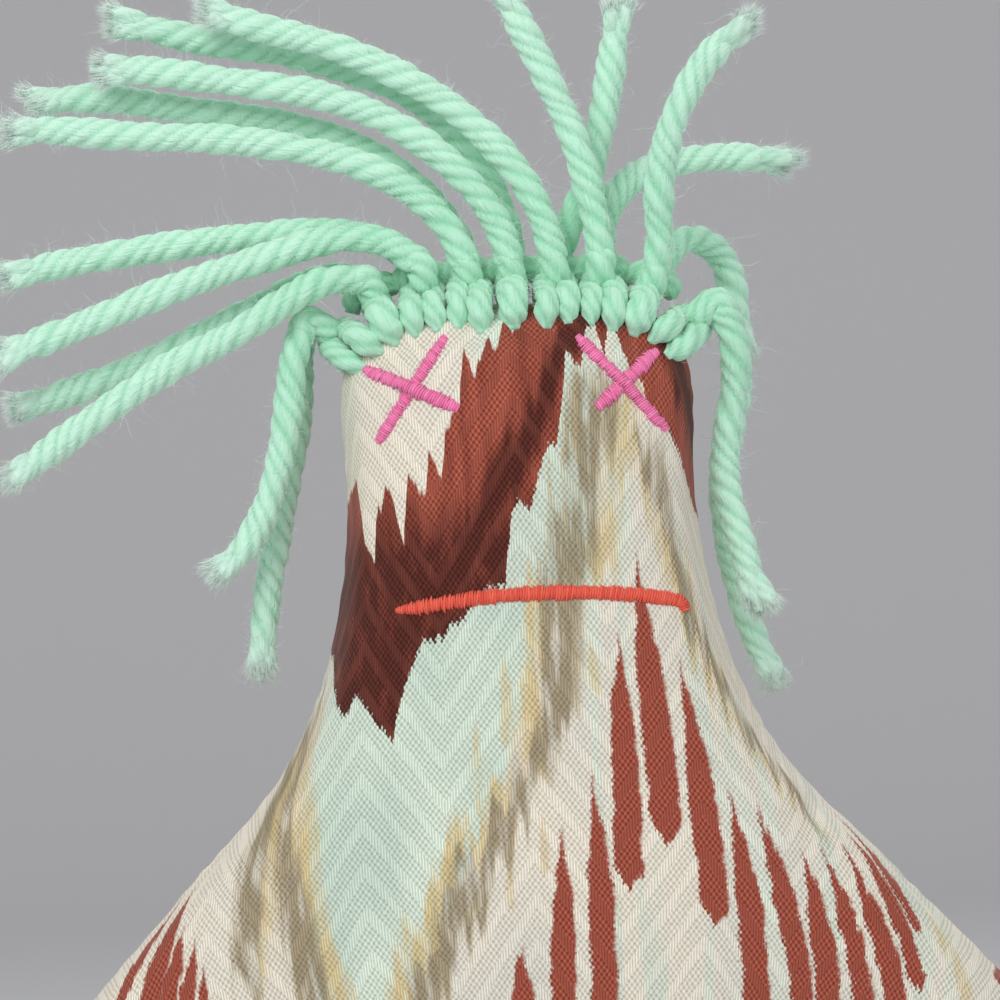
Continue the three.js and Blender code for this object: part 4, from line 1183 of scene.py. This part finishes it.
def on_cloth(cloth, x, z):
    """The place on the front cloth at a doll's x and z, and the way out of it."""
    hit, out, _, _ = cloth.ray_cast(Vector((x, -IN_FRONT, z)), Vector((0, 1, 0)))
    return hit, out


def knot_line(crown, seat, out, width):
    """The route of a hitch's strand: out of the front cloth, over the seam and into the back."""
    route = []
    for depth in KNOT_DEPTHS:
        spot = seat - out * depth * MM
        hit, normal = on_cloth(crown, spot.x, spot.z)
        if hit is not None:
            lift = width * KNOT_LIFT if depth < KNOT_DEPTHS[0] else -width * KNOT_SINK
            route.append(hit + normal * lift)
    behind = [Vector((p.x, -p.y, p.z)) for p in reversed(route)]
    return smooth_route(route + [seat + out * (width / 2)] + behind, RING_STEP)


def make_hair(crown, plies, fluff):
    """Knots over the crown seam, and two free tails from each."""
    fuzz = {side: Fluff(seed) for side, seed in FUZZ_SEEDS.items()}
    frayed = Fluff(FRAY_SEED)
    for number, (seat, top) in enumerate(zip(KNOT_SEATS, KNOT_TOPS), 1):
        seat = Vector((seat[0], 0, seat[1])) * MM
        top = Vector((top[0], 0, top[1])) * MM
        out = (top - seat).normalized()
        beside = Vector((out.z, 0, -out.x))
        knot = Yarn(KNOT_SEED + number)
        for aside, width, rise in KNOT_STRANDS[number % len(KNOT_STRANDS)]:
            strand = knot_line(crown, seat + (beside * aside + out * rise) * MM, out, width * MM)
            knot.lay(strand, width * MM, KNOT_TAPER, KNOT_TAPER)
            fuzz["knot"].round_yarn(strand[KNOT_BARE_RINGS:-KNOT_BARE_RINGS], width * MM)
        if 1 < number < len(KNOT_SEATS):
            back = Vector((0, BIGHT_BACK, 0))
            behind = [seat + (beside * aside + out * up) * MM + back for aside, up in KNOT_BIGHT]
            knot.lay(smooth_route(behind, RING_STEP), BIGHT_YARN, JOIN_TAPER, JOIN_TAPER)
        for side, tails in (("front", FRONT_TAILS), ("back", BACK_TAILS)):
            spots = [top + Vector(p) * MM for p in tails[number - 1]]
            root = seat + out * ROOT_RISE + Vector((0, spots[0].y * ROOT_INWARD, 0))
            ahead = (spots[1] - spots[0]).normalized()
            join = smooth_route([root, spots[0], spots[0] + ahead * JOIN_LENGTH], RING_STEP)
            knot.lay(join, YARN, JOIN_TAPER, JOIN_TAPER)
            line = smooth_route(spots, RING_STEP)
            length = lengths_along(line)[-1]
            tail = Yarn(TAIL_SEEDS[side] + number)
            tail.lay(line, YARN, TAIL_TAPER, SPLIT_START, SPLIT_START)
            fuzz[side].round_yarn(line, YARN)
            for split in split_ends(line, tail.draw):
                tail.lay(split, SPLIT_WIDTH, *SPLIT_TAPERS, SPLIT_START)
                frayed.frayed_end(split, SPLIT_WIDTH)
            name = f"hair_{side}_tail_{number}"
            piece = tail.piece(f"{name}_yarn", name, plies)
            path = smooth_route(spots, length / CORD_STEPS)
        knot.piece(f"hair_knot_{number}_yarn", f"hair_knot_{number}", plies)
    for side, hairs in fuzz.items():
        hairs.piece(f"hair_{side}_fuzz", fluff)
    frayed.piece("hair_frayed_ends", fluff)


def thread_stitch():
    """One satin stitch, modelled along x with its width across y: a thread that arches over the cloth."""
    bpy.ops.object.select_all(action="DESELECT")
    bpy.ops.mesh.primitive_cylinder_add(vertices=6, radius=0.5, depth=1, rotation=(0, math.pi / 2, 0))
    stitch = bpy.context.object
    bpy.ops.object.transform_apply(location=True, rotation=True, scale=True)
    for at in STITCH_RINGS:
        in_edit_mode(lambda: bpy.ops.mesh.bisect(plane_co=(at, 0, 0), plane_no=(1, 0, 0)))
    vertices = places(stitch.data)
    faces = [tuple(face.vertices) for face in stitch.data.polygons]
    bpy.data.objects.remove(stitch)
    return vertices, faces


def satin_bar(name, cloth, line, width, lift, finish, seed, tips, point):
    """A bar of satin stitch along a line of x and z places on the front cloth."""
    draw = np.random.default_rng(seed)
    pattern, pattern_faces = thread_stitch()
    spots = smooth_route([(x, 0, z) for x, z in line], STITCH_PITCH)
    along = unit(np.gradient(spots, axis=0))
    run = lengths_along(spots)
    vertices, faces, corners = [], [], []
    for number, (spot, ahead) in enumerate(zip(spots, along)):
        side = np.array((-ahead[2], 0, ahead[0]))
        slant = draw.normal(*STITCH_SLANT)
        first_end = tips[0] + (1 - tips[0]) * run[number] / (point * width)
        last_end = tips[1] + (1 - tips[1]) * (run[-1] - run[number]) / (point * width)
        full = min(1, first_end, last_end)
        half = width / 2 * full * (1 + draw.normal(0, STITCH_UNEVEN))
        shift = draw.normal(0, STITCH_SHIFT)
        thick = STITCH_THREAD * draw.uniform(*STITCH_THICKNESS)
        rise = lift(run[number] / run[-1]) + STITCH_CROWN * full
        first = len(vertices)
        for x, y, z in pattern:
            reach = shift + 2 * x * half
            fine = thick * (1 - STITCH_POINT * abs(2 * x) ** 3)
            place = spot + side * reach + ahead * (y * fine + slant * 2 * x * half)
            hit, out = on_cloth(cloth, place[0], place[2])
            arch = 1 - (2 * x) ** 4
            vertices.append(hit + out * (z * fine * STITCH_FLAT + rise * arch - STITCH_SINK))
        faces += [tuple(first + i for i in face) for face in pattern_faces]
        corners += [(pattern[i][0] * half, number) for face in pattern_faces for i in face]
    piece = new_piece(f"{name}_stitches", vertices, faces)
    strand = piece.data.uv_layers.new(name="strand")
    strand.data.foreach_set("uv", np.array(corners).ravel())
    piece.data.materials.append(finish)
    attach(piece, "head")
    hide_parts(name)
    return piece


def flat_on(share):
    """The lift of a bar that lies on the cloth all along."""
    return 0


def over_crossing(share):
    """The lift of a bar that crosses over another at its middle."""
    return CROSSING_RISE * math.exp(-((share - 0.5) / CROSSING_REACH) ** 2)


def make_face(cloth, pink, red):
    """Two crossed bars for each eye, and the mouth."""
    for number, (name, (start, end, width)) in enumerate(EYE_BARS.items()):
        middle = ((start[0] + end[0]) / 2, (start[1] + end[1]) / 2)
        line = [(x * MM, z * MM) for x, z in (start, middle, end)]
        lift = over_crossing if "over" in name else flat_on
        seed = EYE_SEED + number
        bar = satin_bar(name, cloth, line, width * MM, lift, pink, seed, EYE_TIPS, EYE_POINT)
    line = [(x * MM, z * MM) for x, z in MOUTH_LINE]
    width = MOUTH_WIDTH * MM
    mouth = satin_bar("mouth", cloth, line, width, flat_on, red, MOUTH_SEED, MOUTH_TIPS, MOUTH_POINT)


def set_camera():
    lens = bpy.data.cameras.new("camera")
    camera = add_object("camera", lens)
    camera.location = VIEW_CENTRE + Vector((0, -VIEW_DISTANCE, 0))
    camera.rotation_euler = (math.pi / 2, VIEW_ROLL, 0)
    lens.sensor_fit = "HORIZONTAL"
    lens.angle = 2 * math.atan(VIEW_WIDTH / 2 / VIEW_DISTANCE)
    bpy.context.scene.camera = camera


def set_stage():
    """A pale floor that curves up into a backdrop."""
    curve = [
        (FLOOR_DEPTH - FLOOR_BEND + FLOOR_BEND * math.sin(a), FLOOR_BEND - FLOOR_BEND * math.cos(a))
        for a in np.linspace(0, math.pi / 2, 16)
    ]
    points = [(-FLOOR_DEPTH, 0)] + curve + [(FLOOR_DEPTH, FLOOR_HEIGHT)]
    vertices = [(side * FLOOR_WIDTH, y, z) for y, z in points for side in (-1, 1)]
    faces = [(2 * i, 2 * i + 1, 2 * i + 3, 2 * i + 2) for i in range(len(points) - 1)]
    floor = new_piece("floor", vertices, faces)
    finish = Finish("floor_paper", Roughness=0.95, Base_Color=FLOOR_COLOUR)
    floor.data.materials.append(finish.material)


def add_light(name, place, aim, size, power):
    lamp = bpy.data.lights.new(name, "AREA")
    lamp.shape = "DISK"
    lamp.size = size
    lamp.energy = power
    light = add_object(name, lamp)
    light.location = place
    light.rotation_euler = (Vector(aim) - Vector(place)).to_track_quat("-Z", "Y").to_euler()


def set_light():
    world = bpy.data.worlds.new("studio")
    bpy.context.scene.world = world
    world.use_nodes = True
    backdrop = world.node_tree.nodes["Background"]
    backdrop.inputs["Color"].default_value = (1, 1, 1, 1)
    backdrop.inputs["Strength"].default_value = AMBIENT
    for name, (place, size, power) in LAMPS.items():
        add_light(name, place, LAMP_AIM, size, power)


bpy.context.scene.view_settings.view_transform = "Standard"
set_camera()
front = front_panel()
crown = BVHTree.FromObject(front, bpy.context.evaluated_depsgraph_get())
make_hair(crown, yarn(), loose_fibre())
make_face(crown, thread("pink_thread", *PINK_TONES), thread("red_thread", *RED_TONES))
back = back_panel(front)
skin = joined_skin(front, back)
skin_pieces(skin, cotton())
bpy.data.objects.remove(skin)
set_stage()
set_light()
